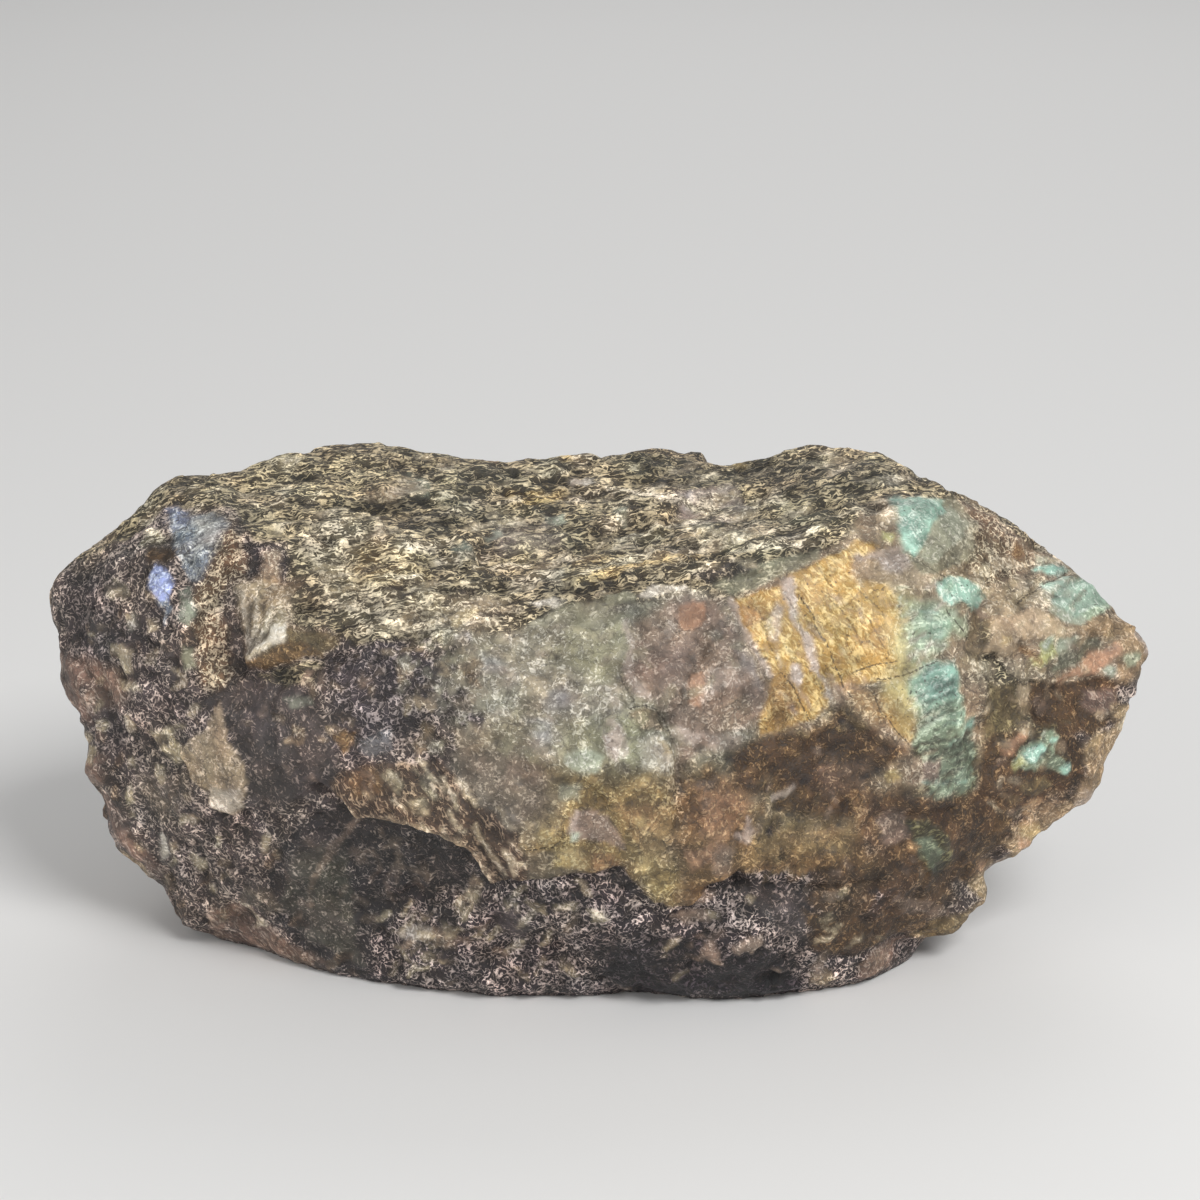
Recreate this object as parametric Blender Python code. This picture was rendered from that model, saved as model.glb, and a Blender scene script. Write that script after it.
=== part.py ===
"""A rough labradorite chunk: one natural stone, broken from the rock along its cleavage planes.

The stone lies on its flat base with its broad colour-flash face towards -Y, its long axis along X
and +Z up. The corners between its break faces are placed first and a skin of flat faces is
stretched over them. The skin is then chipped and weathered, cut flat underneath, and brought to
the stone's overall size with its origin under the middle of its base.
"""

import bmesh
import bpy
from mathutils import Matrix, Vector, noise

# Driving sizes, in metres: the finished stone from tip to tip, front to back and base to crest.
LENGTH = 0.1225
DEPTH = 0.0560
HEIGHT = 0.0540

NAME = "labradorite_chunk"
CORE = Vector((0, 0, 26))           # a point deep inside the stone that sees every corner
CORE_REACH = Vector((40, 26, 27))   # how far the skin's faces reach along X, Y and Z from it

# Corners between the break faces, (x, y, z) in millimetres, before the last sizing.
CREST = (                           # left tip, over the back of the top, to the right tip
    (-60.4, 3, 38), (-58.8, 5, 41.8), (-55.5, 6, 44.5), (-50.5, 10, 48), (-49, 12, 49.8),
    (-41, 15, 49.6), (-36, 17, 51.8), (-25, 19, 52.6), (-18, 18, 51.6), (-10.5, 16, 50.8),
    (-4, 18, 51.2), (4, 18, 51.2), (15.5, 17, 51), (19, 18, 51.8), (24, 17, 52.6),
    (30.5, 15, 52.9), (33.5, 11, 53), (38.5, 9, 51.6), (43.5, 8, 48.6), (50.5, 5, 44),
    (55.5, 3, 40.7), (60.2, 0, 34),
)
TOP = (
    (-42, 5, 49.5), (-32, 5, 50), (-20, 4, 50), (-8, 3, 47.5), (4, 4, 48), (14, 5, 48.5),
    (24, 4, 51.5), (32, 5, 53),
)
UNDER_RIM = (                       # right tip, along the foot of the front, to the left tip
    (59.2, -1, 30), (58.9, -1, 26), (57.6, -2, 22.2), (53.6, -4, 17.8), (49.8, -6, 16),
    (48.4, -7, 13.6), (41.2, -8, 11.8), (43.2, -8, 7.6), (41.2, -9, 4.3), (33.4, -13, 1.2),
    (26, -15, -2.4), (13, -17.5, -2), (4.5, -15.5, -2), (-7, -13, -2), (-14, -17, -2),
    (-24, -15, -2.5), (-31.5, -10, -2.5), (-39, -5.5, -2), (-45, -2.5, 0), (-51.2, -2, 8),
    (-55.4, -2, 15), (-55, -3, 18.2), (-57.2, -4, 21), (-56.2, -3, 24.8), (-58.2, -1, 28.7),
    (-59.6, 0, 34),
)
BROW = (                            # where the top breaks over into the front
    (-51, -4, 46), (-40, -4, 50), (-37, -15, 41), (-27.5, -13, 44.5), (-15.5, -19, 42.5),
    (-10.5, -14, 44.5), (1, -13, 46), (14.5, -12, 45.5), (21.5, -8, 49), (30.5, -4, 51.8),
    (35.5, 0, 52.8),
)
FLASH_FACE = (                      # the broad cleavage face and the steps round it
    (5, -21, 37.5), (17, -19, 31.5), (21, -17, 37), (29.5, -13, 40), (37.5, -9, 43.5),
    (41.5, -6, 42), (38.5, -13, 33.5), (32, -16, 30), (38.5, -15, 22.5), (26.5, -19, 18.5),
)
RIGHT_WEDGE = (
    (49, -6, 36.5), (48, -9, 27), (41.5, -9, 31),
)
BELLY = (                           # the clear grey middle, bulging over the foot
    (-4, -23, 37), (-4, -26, 19.5), (-9.5, -25, 17), (4, -26, 15.5), (14.5, -24, 19.5),
    (4, -24, 29),
)
FOOT = (
    (2, -21, 7), (17, -21.5, 7), (30.5, -17, 8), (9, -22.5, 10.5),
)
LEFT_FACE = (
    (-52, -8, 37), (-45, -13, 33.5), (-35, -18, 31), (-25, -21, 30), (-16.5, -22, 32.5),
    (-38, -14, 16.5), (-49, -9, 24.5),
)
SHELL_BREAK = (                     # the lip and the floor of the shell-shaped hollow
    (-18.5, -25, 23.5), (-26.5, -22, 27), (-35, -11.5, 6), (-21.5, -16, 12), (-14, -18, 9.5),
    (-29, -15, 14),
)
BACK = (
    (-59.5, 12, 36), (-58, 15, 27), (-53, 21, 38), (-40, 23, 43), (-25, 25, 45), (-8, 25, 43),
    (9, 26, 43), (25, 22, 45), (37, 17, 44), (47, 13, 38), (56, 8, 31), (-53, 16, 17),
    (-43, 25, 27), (-28, 29, 31), (-12, 27, 27), (6, 29, 30), (22, 28, 26), (35, 23, 30),
    (47, 17, 26), (-45, 17, 9), (-33, 23, 9), (-16, 26, 12), (3, 25, 9), (19, 25, 12),
    (34, 17, 11), (44, 8, 13), (53, 6, 20),
)
BASE_EDGE = (                       # below the level of the flat base
    (-41, 5, -3), (-35, 14, -3), (-24, 19, -3), (-12, 20, -3), (6, 20, -3), (20, 19, -3),
    (31, 9, -3), (33, -3, -2.5),
)
CORNERS = (CREST + TOP + UNDER_RIM + BROW + FLASH_FACE + RIGHT_WEDGE + BELLY + FOOT + LEFT_FACE
           + SHELL_BREAK + BACK + BASE_EDGE)

EDGE_LIMIT = 4.4      # the longest edge left in the skin, mm
CHIP_SIZE = 8.0       # the spacing of the chips left by breaking, mm
CHIP_TILT = 0.55      # how far a chip's face stands in or out at its edge, mm
CHIP_SEED = 63        # settles which way each chip tilts
WEATHER_SIZE = 11.0   # the spacing of the soft swells and dips, mm
WEATHER_DEPTH = 0.5   # mm

STONE_COLOUR = (0.16, 0.14, 0.11, 1.0)
STONE_ROUGHNESS = 0.55


def clear_scene():
    for old in list(bpy.data.objects):
        bpy.data.objects.remove(old)


def stretch_skin():
    """Flat triangles between neighbouring corners, as the core sees them."""
    skin = bmesh.new()
    corner_of = {}
    for corner in CORNERS:
        ray = Vector(corner) - CORE
        seen = Vector([along / reach for along, reach in zip(ray, CORE_REACH)]).normalized()
        corner_of[skin.verts.new(seen)] = Vector(corner)
    bmesh.ops.convex_hull(skin, input=skin.verts)
    for vertex, corner in corner_of.items():
        vertex.co = corner
    bmesh.ops.recalc_face_normals(skin, faces=skin.faces)
    return skin


def split_long_edges(skin):
    """Halves every long edge until none passes the limit, and leaves the skin's faces flat."""
    while True:
        long_edges = [edge for edge in skin.edges if edge.calc_length() > EDGE_LIMIT]
        if not long_edges:
            return
        bmesh.ops.subdivide_edges(skin, edges=long_edges, cuts=1)
        bmesh.ops.triangulate(skin, faces=skin.faces)


def chip(place):
    """Each cell of the break is a flat chip with a tilt of its own."""
    cell = noise.voronoi(place / CHIP_SIZE)[1][0]
    tilt = noise.noise_vector(cell * 5.3 + Vector((3.1, 7.7, 1.9))).normalized()
    return CHIP_TILT * tilt.dot(place / CHIP_SIZE - cell) * 2


def weather(place):
    """Soft swells and dips, half as deep again at twice the fineness."""
    return WEATHER_DEPTH * noise.fractal(place / WEATHER_SIZE, 0.6, 2.0, 3)


def roughen(skin):
    noise.seed_set(CHIP_SEED)
    skin.normal_update()
    moves = {v: v.normal * (chip(v.co) + weather(v.co)) for v in skin.verts}
    for vertex, move in moves.items():
        vertex.co += move


def cut_base(skin):
    """One flat break underneath, which the stone rests on."""
    whole = list(skin.verts) + list(skin.edges) + list(skin.faces)
    cut = bmesh.ops.bisect_plane(
        skin, geom=whole, dist=0.02, plane_co=(0, 0, 0), plane_no=(0, 0, 1), clear_inner=True)
    rim = [item for item in cut["geom_cut"] if isinstance(item, bmesh.types.BMEdge)]
    bmesh.ops.holes_fill(skin, edges=rim, sides=0)
    bmesh.ops.triangulate(skin, faces=skin.faces)
    bmesh.ops.recalc_face_normals(skin, faces=skin.faces)


def bring_to_size(skin):
    """Scales the stone to its overall size and puts the origin under the middle of its box."""
    low = Vector([min(v.co[axis] for v in skin.verts) for axis in range(3)])
    high = Vector([max(v.co[axis] for v in skin.verts) for axis in range(3)])
    middle = Vector(((low.x + high.x) / 2, (low.y + high.y) / 2, low.z))
    size = high - low
    share = Matrix.Diagonal((LENGTH / size.x, DEPTH / size.y, HEIGHT / size.z))
    for vertex in skin.verts:
        vertex.co = share @ (vertex.co - middle)


def stone_material():
    material = bpy.data.materials.new("labradorite")
    material.use_nodes = True
    shader = material.node_tree.nodes["Principled BSDF"]
    shader.inputs["Base Color"].default_value = STONE_COLOUR
    shader.inputs["Roughness"].default_value = STONE_ROUGHNESS
    return material


def build_stone():
    skin = stretch_skin()
    split_long_edges(skin)
    roughen(skin)
    cut_base(skin)
    bring_to_size(skin)
    mesh = bpy.data.meshes.new(NAME)
    skin.to_mesh(mesh)
    skin.free()
    mesh.materials.append(stone_material())
    stone = bpy.data.objects.new(NAME, mesh)
    bpy.context.scene.collection.objects.link(stone)


clear_scene()
build_stone()
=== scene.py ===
"""A rough labradorite chunk, set down on a plain pale floor.

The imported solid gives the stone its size, its break faces and its outline. Here the same skin is
rewoven finely, broken up into chips, steps, fibres and cracks, and given its minerals.
Lengths on the stone are in millimetres until they reach Blender, which takes metres.
"""
import math
from collections import namedtuple

import bmesh
import bpy
import numpy as np
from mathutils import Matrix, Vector, noise


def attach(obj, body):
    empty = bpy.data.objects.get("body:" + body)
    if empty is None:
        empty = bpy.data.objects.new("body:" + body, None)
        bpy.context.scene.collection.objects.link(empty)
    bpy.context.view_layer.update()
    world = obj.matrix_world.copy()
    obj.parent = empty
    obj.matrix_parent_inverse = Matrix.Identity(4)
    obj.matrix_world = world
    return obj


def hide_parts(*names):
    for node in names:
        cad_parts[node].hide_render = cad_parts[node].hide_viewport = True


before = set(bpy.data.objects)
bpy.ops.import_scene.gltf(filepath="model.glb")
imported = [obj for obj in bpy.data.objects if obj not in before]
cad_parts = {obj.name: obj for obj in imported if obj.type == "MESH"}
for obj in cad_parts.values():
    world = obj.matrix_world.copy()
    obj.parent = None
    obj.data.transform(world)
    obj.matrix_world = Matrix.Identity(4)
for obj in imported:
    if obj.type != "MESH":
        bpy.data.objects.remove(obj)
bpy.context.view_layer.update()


# The stone's skin. The real thing is one broken piece of feldspar, so it is one closed mesh:
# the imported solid's skin, rewoven evenly, rubbed smooth of its flat facets, and then woven twice
# as finely over the front and top, where its breaks show best.

MM = 0.001
NODE = "labradorite_chunk"
COARSE_WEAVE = 1.6        # the first weave, which rounds off the solid's facets
COARSE_RUBS = 3
WEAVE = 0.81              # the weave that is kept round the back
WEAVE_RUBS = 6
FINE_RUBS = 3
AIM = (0.0, -1.6, 40.0)   # the point that the viewing point looks at
VIEW_RISE = math.radians(20)
VIEW_DISTANCE = 330.0
TOWARDS_VIEW = np.array([0.0, -math.cos(VIEW_RISE), math.sin(VIEW_RISE)])
UP_THE_SHEET = np.array([0.0, math.sin(VIEW_RISE), math.cos(VIEW_RISE)])


def step(low, high, values):
    """0 below low and 1 above high, with a soft ramp between."""
    share = np.clip((values - low) / (high - low), 0.0, 1.0)
    return share * share * (3.0 - 2.0 * share)


def places_of(mesh):
    """A mesh's vertices in millimetres."""
    flat = np.zeros(len(mesh.vertices) * 3)
    mesh.vertices.foreach_get("co", flat)
    return flat.reshape(-1, 3) / MM


def put_places(mesh, places):
    mesh.vertices.foreach_set("co", (places * MM).ravel())
    mesh.update()


def normals_of(mesh):
    flat = np.zeros(len(mesh.vertices) * 3)
    mesh.vertex_normals.foreach_get("vector", flat)
    return flat.reshape(-1, 3)


def rewoven(thing, weave):
    """The object's mesh, woven again with threads that far apart."""
    remesh = thing.modifiers.new("weave", "REMESH")
    remesh.mode = "VOXEL"
    remesh.voxel_size = weave * MM
    bpy.context.view_layer.update()
    shown = thing.evaluated_get(bpy.context.evaluated_depsgraph_get())
    mesh = bpy.data.meshes.new_from_object(shown)
    thing.modifiers.remove(remesh)
    return mesh


def rub(mesh, rounds):
    """Draws each vertex halfway to the middle of its neighbours, round after round."""
    ends = np.zeros(len(mesh.edges) * 2, int)
    mesh.edges.foreach_get("vertices", ends)
    a, b = ends.reshape(-1, 2).T
    places = places_of(mesh)
    count = np.bincount(np.r_[a, b], minlength=len(places))[:, None]
    for _ in range(rounds):
        total = np.stack([np.bincount(a, places[b, k], len(places))
                          + np.bincount(b, places[a, k], len(places)) for k in range(3)], axis=1)
        places += 0.5 * (total / count - places)
    put_places(mesh, places)


def facing_view(mesh):
    """How squarely each vertex faces the viewing point, from -1 to 1."""
    return normals_of(mesh) @ TOWARDS_VIEW


def weave_front_finer(mesh):
    """Halves the weave over what faces the viewing point or the sky."""
    work = bmesh.new()
    work.from_mesh(mesh)
    facing = facing_view(mesh)
    work.verts.ensure_lookup_table()
    chosen = [e for e in work.edges if min(facing[e.verts[0].index], facing[e.verts[1].index]) > 0.0]
    bmesh.ops.subdivide_edges(work, edges=chosen, cuts=1, use_grid_fill=True)
    bmesh.ops.triangulate(work, faces=work.faces)
    work.to_mesh(mesh)
    work.free()


stone = bpy.data.objects.new("stone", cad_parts[NODE].data.copy())
bpy.context.scene.collection.objects.link(stone)
stone.data = rewoven(stone, COARSE_WEAVE)
rub(stone.data, COARSE_RUBS)
stone.data = rewoven(stone, WEAVE)
rub(stone.data, WEAVE_RUBS)
weave_front_finer(stone.data)
rub(stone.data, FINE_RUBS)
skin = places_of(stone.data)
normals = normals_of(stone.data)
print("stone:", len(stone.data.vertices), "vertices,", len(stone.data.polygons), "triangles")


# Where things are on the stone. The front is laid out on a sheet that faces the viewing point:
# a spot on it is (right, up) in mm from the middle of the view. Outlines and lines are wavy on
# the stone, because the spots are shaken a little before they are measured.

def waves(places, size, octaves=3, shift=0.0):
    """Soft noise, about -1 to 1. size is the width of its swells, one for all axes or one each."""
    scaled = (places / np.array(size) + shift).tolist()
    return np.array([noise.fractal(place, 0.8, 2.0, octaves) for place in scaled])


def seen_from_front(places):
    """The spot on the sheet where the viewing point sees each place."""
    off = places - np.array(AIM)
    nearness = VIEW_DISTANCE / (VIEW_DISTANCE - off @ TOWARDS_VIEW)
    return np.stack([off[:, 0] * nearness, (off @ UP_THE_SHEET) * nearness], axis=1)


def away_from_run(spots, start, end):
    """Distance from each spot to the straight run, and which side of it the spot is on."""
    along = end - start
    share = np.clip((spots - start) @ along / (along @ along), 0.0, 1.0)
    gap = spots - (start + share[:, None] * along)
    side = np.sign(along[0] * gap[:, 1] - along[1] * gap[:, 0])
    return np.hypot(gap[:, 0], gap[:, 1]), side


def depth_inside(spots, outline):
    """How far each spot is inside the closed outline; negative outside it."""
    corners = np.array(outline, float)
    nearest = np.full(len(spots), np.inf)
    inside = np.zeros(len(spots), bool)
    for start, end in zip(corners, np.roll(corners, -1, axis=0)):
        nearest = np.minimum(nearest, away_from_run(spots, start, end)[0])
        crossing = (start[1] > spots[:, 1]) != (end[1] > spots[:, 1])
        rise = end[1] - start[1] if end[1] != start[1] else 1e-9
        inside ^= crossing & (spots[:, 0] < start[0] + (spots[:,
                              1] - start[1]) * (end[0] - start[0]) / rise)
    return np.where(inside, nearest, -nearest)


def off_line(spots, line):
    """Distance from each spot to an open line, positive on the line's left as it runs."""
    corners = np.array(line, float)
    nearest = np.full(len(spots), np.inf)
    signed = np.full(len(spots), np.inf)
    for start, end in zip(corners[:-1], corners[1:]):
        gap, side = away_from_run(spots, start, end)
        closer = gap < nearest
        nearest = np.where(closer, gap, nearest)
        signed = np.where(closer, gap * np.where(side == 0, 1, side), signed)
    return signed


def past_ends(spots, line):
    """How far each spot is beyond the ends of an open line."""
    corners = np.array(line, float)
    first, last = corners[0] - corners[1], corners[-1] - corners[-2]
    before = (spots - corners[0]) @ (first / np.linalg.norm(first))
    after = (spots - corners[-1]) @ (last / np.linalg.norm(last))
    return np.maximum(np.maximum(before, after), 0.0)


sheet = seen_from_front(skin)
front = step(0.02, 0.22, normals @ TOWARDS_VIEW)
shake = np.stack([waves(skin, 6.0, 2, 3.7), waves(skin, 6.0, 2, 9.1)], axis=1)
shiver = np.stack([waves(skin, 1.7, 2, 5.3), waves(skin, 1.7, 2, 1.9)], axis=1)
quiver = np.stack([waves(skin, 0.8, 2, 4.6), waves(skin, 0.8, 2, 8.2)], axis=1)
shaken = sheet + 0.45 * shake + 0.35 * shiver + 0.18 * quiver
steady = sheet + 0.3 * shake + 0.15 * shiver


# The minerals: dark rock, clear and coloured feldspar, and a weathered crust. Each has a ground
# colour and pale flecks, and breaks in its own way. They are laid on like coats: first what covers
# the whole stone, then the patches on the front.

# cover is the flecks' share. lie is 1 where flecks and fibres lie in the rising beds, -1 where they
# fall to the right. shine is how satiny it is, chips and grain how deep it breaks, and comb and
# ripple how deep the flash face is scored.
Mineral = namedtuple("Mineral", "ground fleck cover lie shine chips grain comb ripple", defaults=(0.0, 0.0))


def tone(red, green, blue):
    """A colour as a paint chart gives it, 0 to 255, as the light that it returns."""
    return np.array([((c / 255 + 0.055) / 1.055) ** 2.4 for c in (red, green, blue)])


CRUST = Mineral(tone(58, 51, 38), tone(188, 172, 140), 0.50, 1.0, 0.0, 0.30, 0.30)
DARK_CRUST = Mineral(tone(46, 43, 33), tone(158, 146, 120), 0.44, 1.0, 0.0, 0.30, 0.30)
OCHRE_CRUST = Mineral(tone(88, 68, 36), tone(212, 186, 134), 0.48, 1.0, 0.0, 0.30, 0.30)
CREAM_CRUST = Mineral(tone(100, 89, 68), tone(234, 221, 195), 0.56, 0.7, 0.0, 0.30, 0.30)
DARK = Mineral(tone(66, 56, 54), tone(200, 181, 168), 0.40, 0.0, 0.1, 0.38, 0.35)
VIOLET_DARK = Mineral(tone(54, 47, 49), tone(164, 150, 146), 0.40, 0.0, 0.1, 0.35, 0.35)
# The foot's dark stone, darkened further with painted shade.
FOOT_STONE_AND_SHADE = Mineral(tone(42, 35, 37), tone(196, 178, 170), 0.40, 0.0, 0.1, 0.42, 0.34)
SMOOTH_DARK = Mineral(tone(64, 56, 54), tone(146, 131, 122), 0.20, 0.0, 0.3, 0.26, 0.18)
SLATE = Mineral(tone(35, 30, 31), tone(148, 135, 128), 0.20, 0.0, 0.3, 0.32, 0.22)
BLACK = Mineral(tone(15, 11, 14), tone(80, 69, 74), 0.22, 0.0, 0.3, 0.34, 0.20)
SHADOW = Mineral(tone(44, 36, 33), tone(84, 72, 65), 0.20, 0.0, 0.1, 0.20, 0.20)
CLEAR = Mineral(tone(140, 134, 116), tone(206, 200, 184), 0.30, 0.0, 0.3, 0.22, 0.16)
DIM_CLEAR = Mineral(tone(104, 93, 79), tone(164, 150, 132), 0.24, 0.0, 0.3, 0.25, 0.14)
BLUE_CLEAR = Mineral(tone(142, 142, 142), tone(196, 194, 190), 0.20, 0.0, 0.4, 0.20, 0.10)
SEA_CLEAR = Mineral(tone(142, 138, 110), tone(200, 196, 172), 0.24, 0.0, 0.4, 0.25, 0.12)
GLOW = Mineral(tone(128, 108, 70), tone(190, 170, 124), 0.28, 0.0, 0.4, 0.30, 0.18)
YELLOW = Mineral(tone(166, 144, 100), tone(202, 184, 140), 0.30, 0.0, 0.4, 0.20, 0.12)
AMBER = Mineral(tone(126, 98, 68), tone(178, 148, 110), 0.30, 0.0, 0.3, 0.30, 0.20)
HONEY = Mineral(tone(104, 80, 52), tone(164, 134, 96), 0.30, 0.0, 0.2, 0.32, 0.20)
MAUVE = Mineral(tone(122, 104, 90), tone(180, 162, 146), 0.26, 0.0, 0.2, 0.26, 0.15)
SALMON = Mineral(tone(174, 133, 105), tone(202, 164, 136), 0.20, 0.0, 0.1, 0.16, 0.08)
BROWN = Mineral(tone(72, 52, 33), tone(140, 112, 80), 0.22, 0.0, 0.1, 0.26, 0.22)
OLIVE = Mineral(tone(98, 84, 58), tone(150, 134, 98), 0.26, -0.6, 0.2, 0.26, 0.20)
LIP = Mineral(tone(64, 49, 38), tone(150, 128, 106), 0.31, -1.0, 0.1, 0.25, 0.25)
RUST = Mineral(tone(104, 80, 58), tone(222, 202, 170), 0.50, 0.0, 0.0, 0.30, 0.30)
RED_BROWN = Mineral(tone(112, 90, 78), tone(164, 144, 130), 0.34, -1.0, 0.0, 0.20, 0.20)
TAN = Mineral(tone(142, 124, 102), tone(212, 195, 170), 0.32, 0.0, 0.1, 0.30, 0.20)
SMOOTH_TAN = Mineral(tone(155, 135, 109), tone(190, 170, 144), 0.28, 0.0, 0.2, 0.16, 0.10)
RIND = Mineral(tone(132, 110, 82), tone(190, 166, 136), 0.32, 0.0, 0.1, 0.24, 0.16)
CREAM = Mineral(tone(174, 158, 130), tone(224, 211, 188), 0.40, 0.0, 0.2, 0.22, 0.12)
WHITE = Mineral(tone(190, 180, 164), tone(228, 222, 210), 0.40, 0.0, 0.3, 0.16, 0.08)
PALE_SEA = Mineral(tone(160, 166, 146), tone(206, 208, 194), 0.26, 0.0, 0.4, 0.16, 0.08)
GREEN_GREY = Mineral(tone(114, 112, 92), tone(172, 168, 146), 0.28, 0.5, 0.2, 0.15, 0.10)
LILAC = Mineral(tone(168, 152, 140), tone(210, 198, 188), 0.26, 0.0, 0.4, 0.15, 0.10)
BLUE = Mineral(tone(148, 158, 200), tone(198, 208, 232), 0.34, 0.0, 0.5, 0.20, 0.12)
ICE_BLUE = Mineral(tone(136, 143, 154), tone(214, 218, 218), 0.46, 0.0, 0.5, 0.28, 0.24)
GOLD = Mineral(tone(163, 129, 72), tone(206, 179, 122), 0.46, -0.8, 0.5, 0.14, 0.10, comb=1.6)
PALE_GOLD = Mineral(tone(196, 186, 134), tone(222, 216, 176), 0.24, 0.5, 0.5, 0.10, 0.06)
TEAL = Mineral(tone(132, 148, 124), tone(192, 206, 180), 0.36, 0.5, 0.6, 0.10, 0.06, ripple=0.5)
BRIGHT_TEAL = Mineral(tone(145, 181, 164), tone(206, 226, 212), 0.36, 0.5, 0.7, 0.10, 0.06, ripple=0.4)
DEEP_TEAL = Mineral(tone(36, 38, 22), tone(92, 96, 66), 0.38, 1.0, 0.4, 0.15, 0.08, ripple=1.0)
LIME = Mineral(tone(168, 166, 112), tone(208, 208, 160), 0.30, 0.0, 0.5, 0.12, 0.08)

look = {name: np.repeat(np.atleast_2d(value), len(skin), axis=0).astype(float)
        for name, value in DARK._asdict().items()}


def lay(mineral, weight, at=slice(None)):
    """Lays a coat of the mineral over what is there, as thick as the weight, 0 to 1."""
    for name, value in mineral._asdict().items():
        look[name][at] += (np.atleast_2d(value) - look[name][at]) * weight[:, None]


def patch(mineral, outline, soft=1.0, weight=1.0, lift=0.0):
    """Lays a mineral inside an outline on the front. Its rim is soft mm wide, and lift stands it
    proud, in mm: a crisp patch stands a little proud anyway."""
    corners = np.array(outline, float)
    margin = 2.0 + 1.5 * soft
    boxed = (sheet > corners.min(axis=0) - margin) & (sheet < corners.max(axis=0) + margin)
    near = np.flatnonzero(np.all(boxed, axis=1) & (front > 0.0))
    wobble = min(soft, 1.5)
    spots = sheet[near] + wobble * (0.8 * shake[near] + 0.45 * shiver[near]) + 0.2 * quiver[near]
    edge = 0.6 * soft if soft < 0.9 else soft
    inside = step(-edge, edge, depth_inside(spots, corners)) * front[near]
    lay(mineral, inside * weight, near)
    lifted[near] += (lift or 0.10 * (soft < 0.55)) * step(0.1, 0.9, inside)


def lay_patches(*rows):
    """Lays patches one after another. A row is a mineral, the patch's softness, weight and lift as
    in patch, and then the corners of its outline."""
    for mineral, soft, weight, lift, *outline in rows:
        patch(mineral, outline, soft, weight, lift)


def spot(mineral, middle, reach, weight=1.0):
    """Lays a mineral in a small blot."""
    away = np.hypot(*(shaken - np.array(middle)).T)
    lay(mineral, step(reach + 0.4, reach - 0.2, away) * front * weight)


def streak(mineral, line, width, weight=1.0, lift=0.0):
    """Lays a mineral along a line on the front, width mm broad, tapering at its ends."""
    ends = past_ends(shaken, line)
    away = np.abs(off_line(shaken, line)) + 0.6 * ends
    inside = step(width / 2 + 0.25, width / 2 - 0.15, away) * front
    lay(mineral, inside * weight)
    lifted[:] += lift * inside


def flakes(minerals, area, count, seed, length, width, rise=0.0, sway=90.0, weight=0.7, lift=0.12):
    """Scatters small angular flakes over an area of the front, most of them lying one way."""
    dice = np.random.default_rng(seed)
    low, high = np.min(area, axis=0), np.max(area, axis=0)
    round_it = np.radians(np.array([0, 55, 125, 180, 235, 305]))
    while count > 0:
        middle = dice.uniform(low, high)
        turn = math.radians(rise + sway * dice.uniform(-1, 1))
        size = dice.uniform(0.6, 1.4)
        jut = dice.uniform(0.55, 1.2, 6)
        kind = minerals[dice.integers(len(minerals))]
        proud = lift * dice.uniform(-1, 1)
        if depth_inside(middle[None], area)[0] < 0.0:
            continue
        along = 0.5 * length * size * jut * np.cos(round_it)
        across = 0.5 * width * size * jut * np.sin(round_it)
        corners = middle + np.stack([along * math.cos(turn) - across * math.sin(turn),
                                     along * math.sin(turn) + across * math.cos(turn)], axis=1)
        patch(kind, corners, soft=0.3, weight=weight * dice.uniform(0.6, 1.0), lift=proud)
        count -= 1


lifted = np.zeros(len(skin))

# Round the sides and back: dark stone with brown and clear blots, darker towards the foot with dark
# stone and painted shade, and crusted over the top.
up = normals[:, 2]
broad = waves(skin, 15.0, 3, 2.2)
blots = waves(skin, 9.0, 3, 7.4)
jagged = (skin / 15.0 + 0.10 * np.stack([shake[:, 0], shiver[:, 0], shake[:, 1]], axis=1) + 4.2).tolist()
face_of = np.array([noise.cell(noise.voronoi(place)[1][0] * 7.3) for place in jagged])
for number, kind in enumerate((SMOOTH_DARK, DIM_CLEAR, BROWN, MAUVE, GREEN_GREY, SMOOTH_DARK, RIND,
                               OLIVE)):
    lay(kind, 0.85 * ((face_of > 0.11 * number) & (face_of < 0.11 * number + 0.10)))
lay(BROWN, 0.6 * step(0.15, 0.40, blots))
# Painted shade: the dark foot stone is laid on towards the bottom all round.
lay(FOOT_STONE_AND_SHADE, 0.9 * step(9.0, 3.0, skin[:, 2] + 8.0 * broad))
lay(CRUST, step(-1.0, 1.0, skin[:, 2] - 38.0 + 12.0 * broad + 14.0 * up + 1.5 * shiver[:, 0]))
lay(CREAM_CRUST, step(0.18, 0.45, blots) * step(0.2, 0.6, up))

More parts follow.
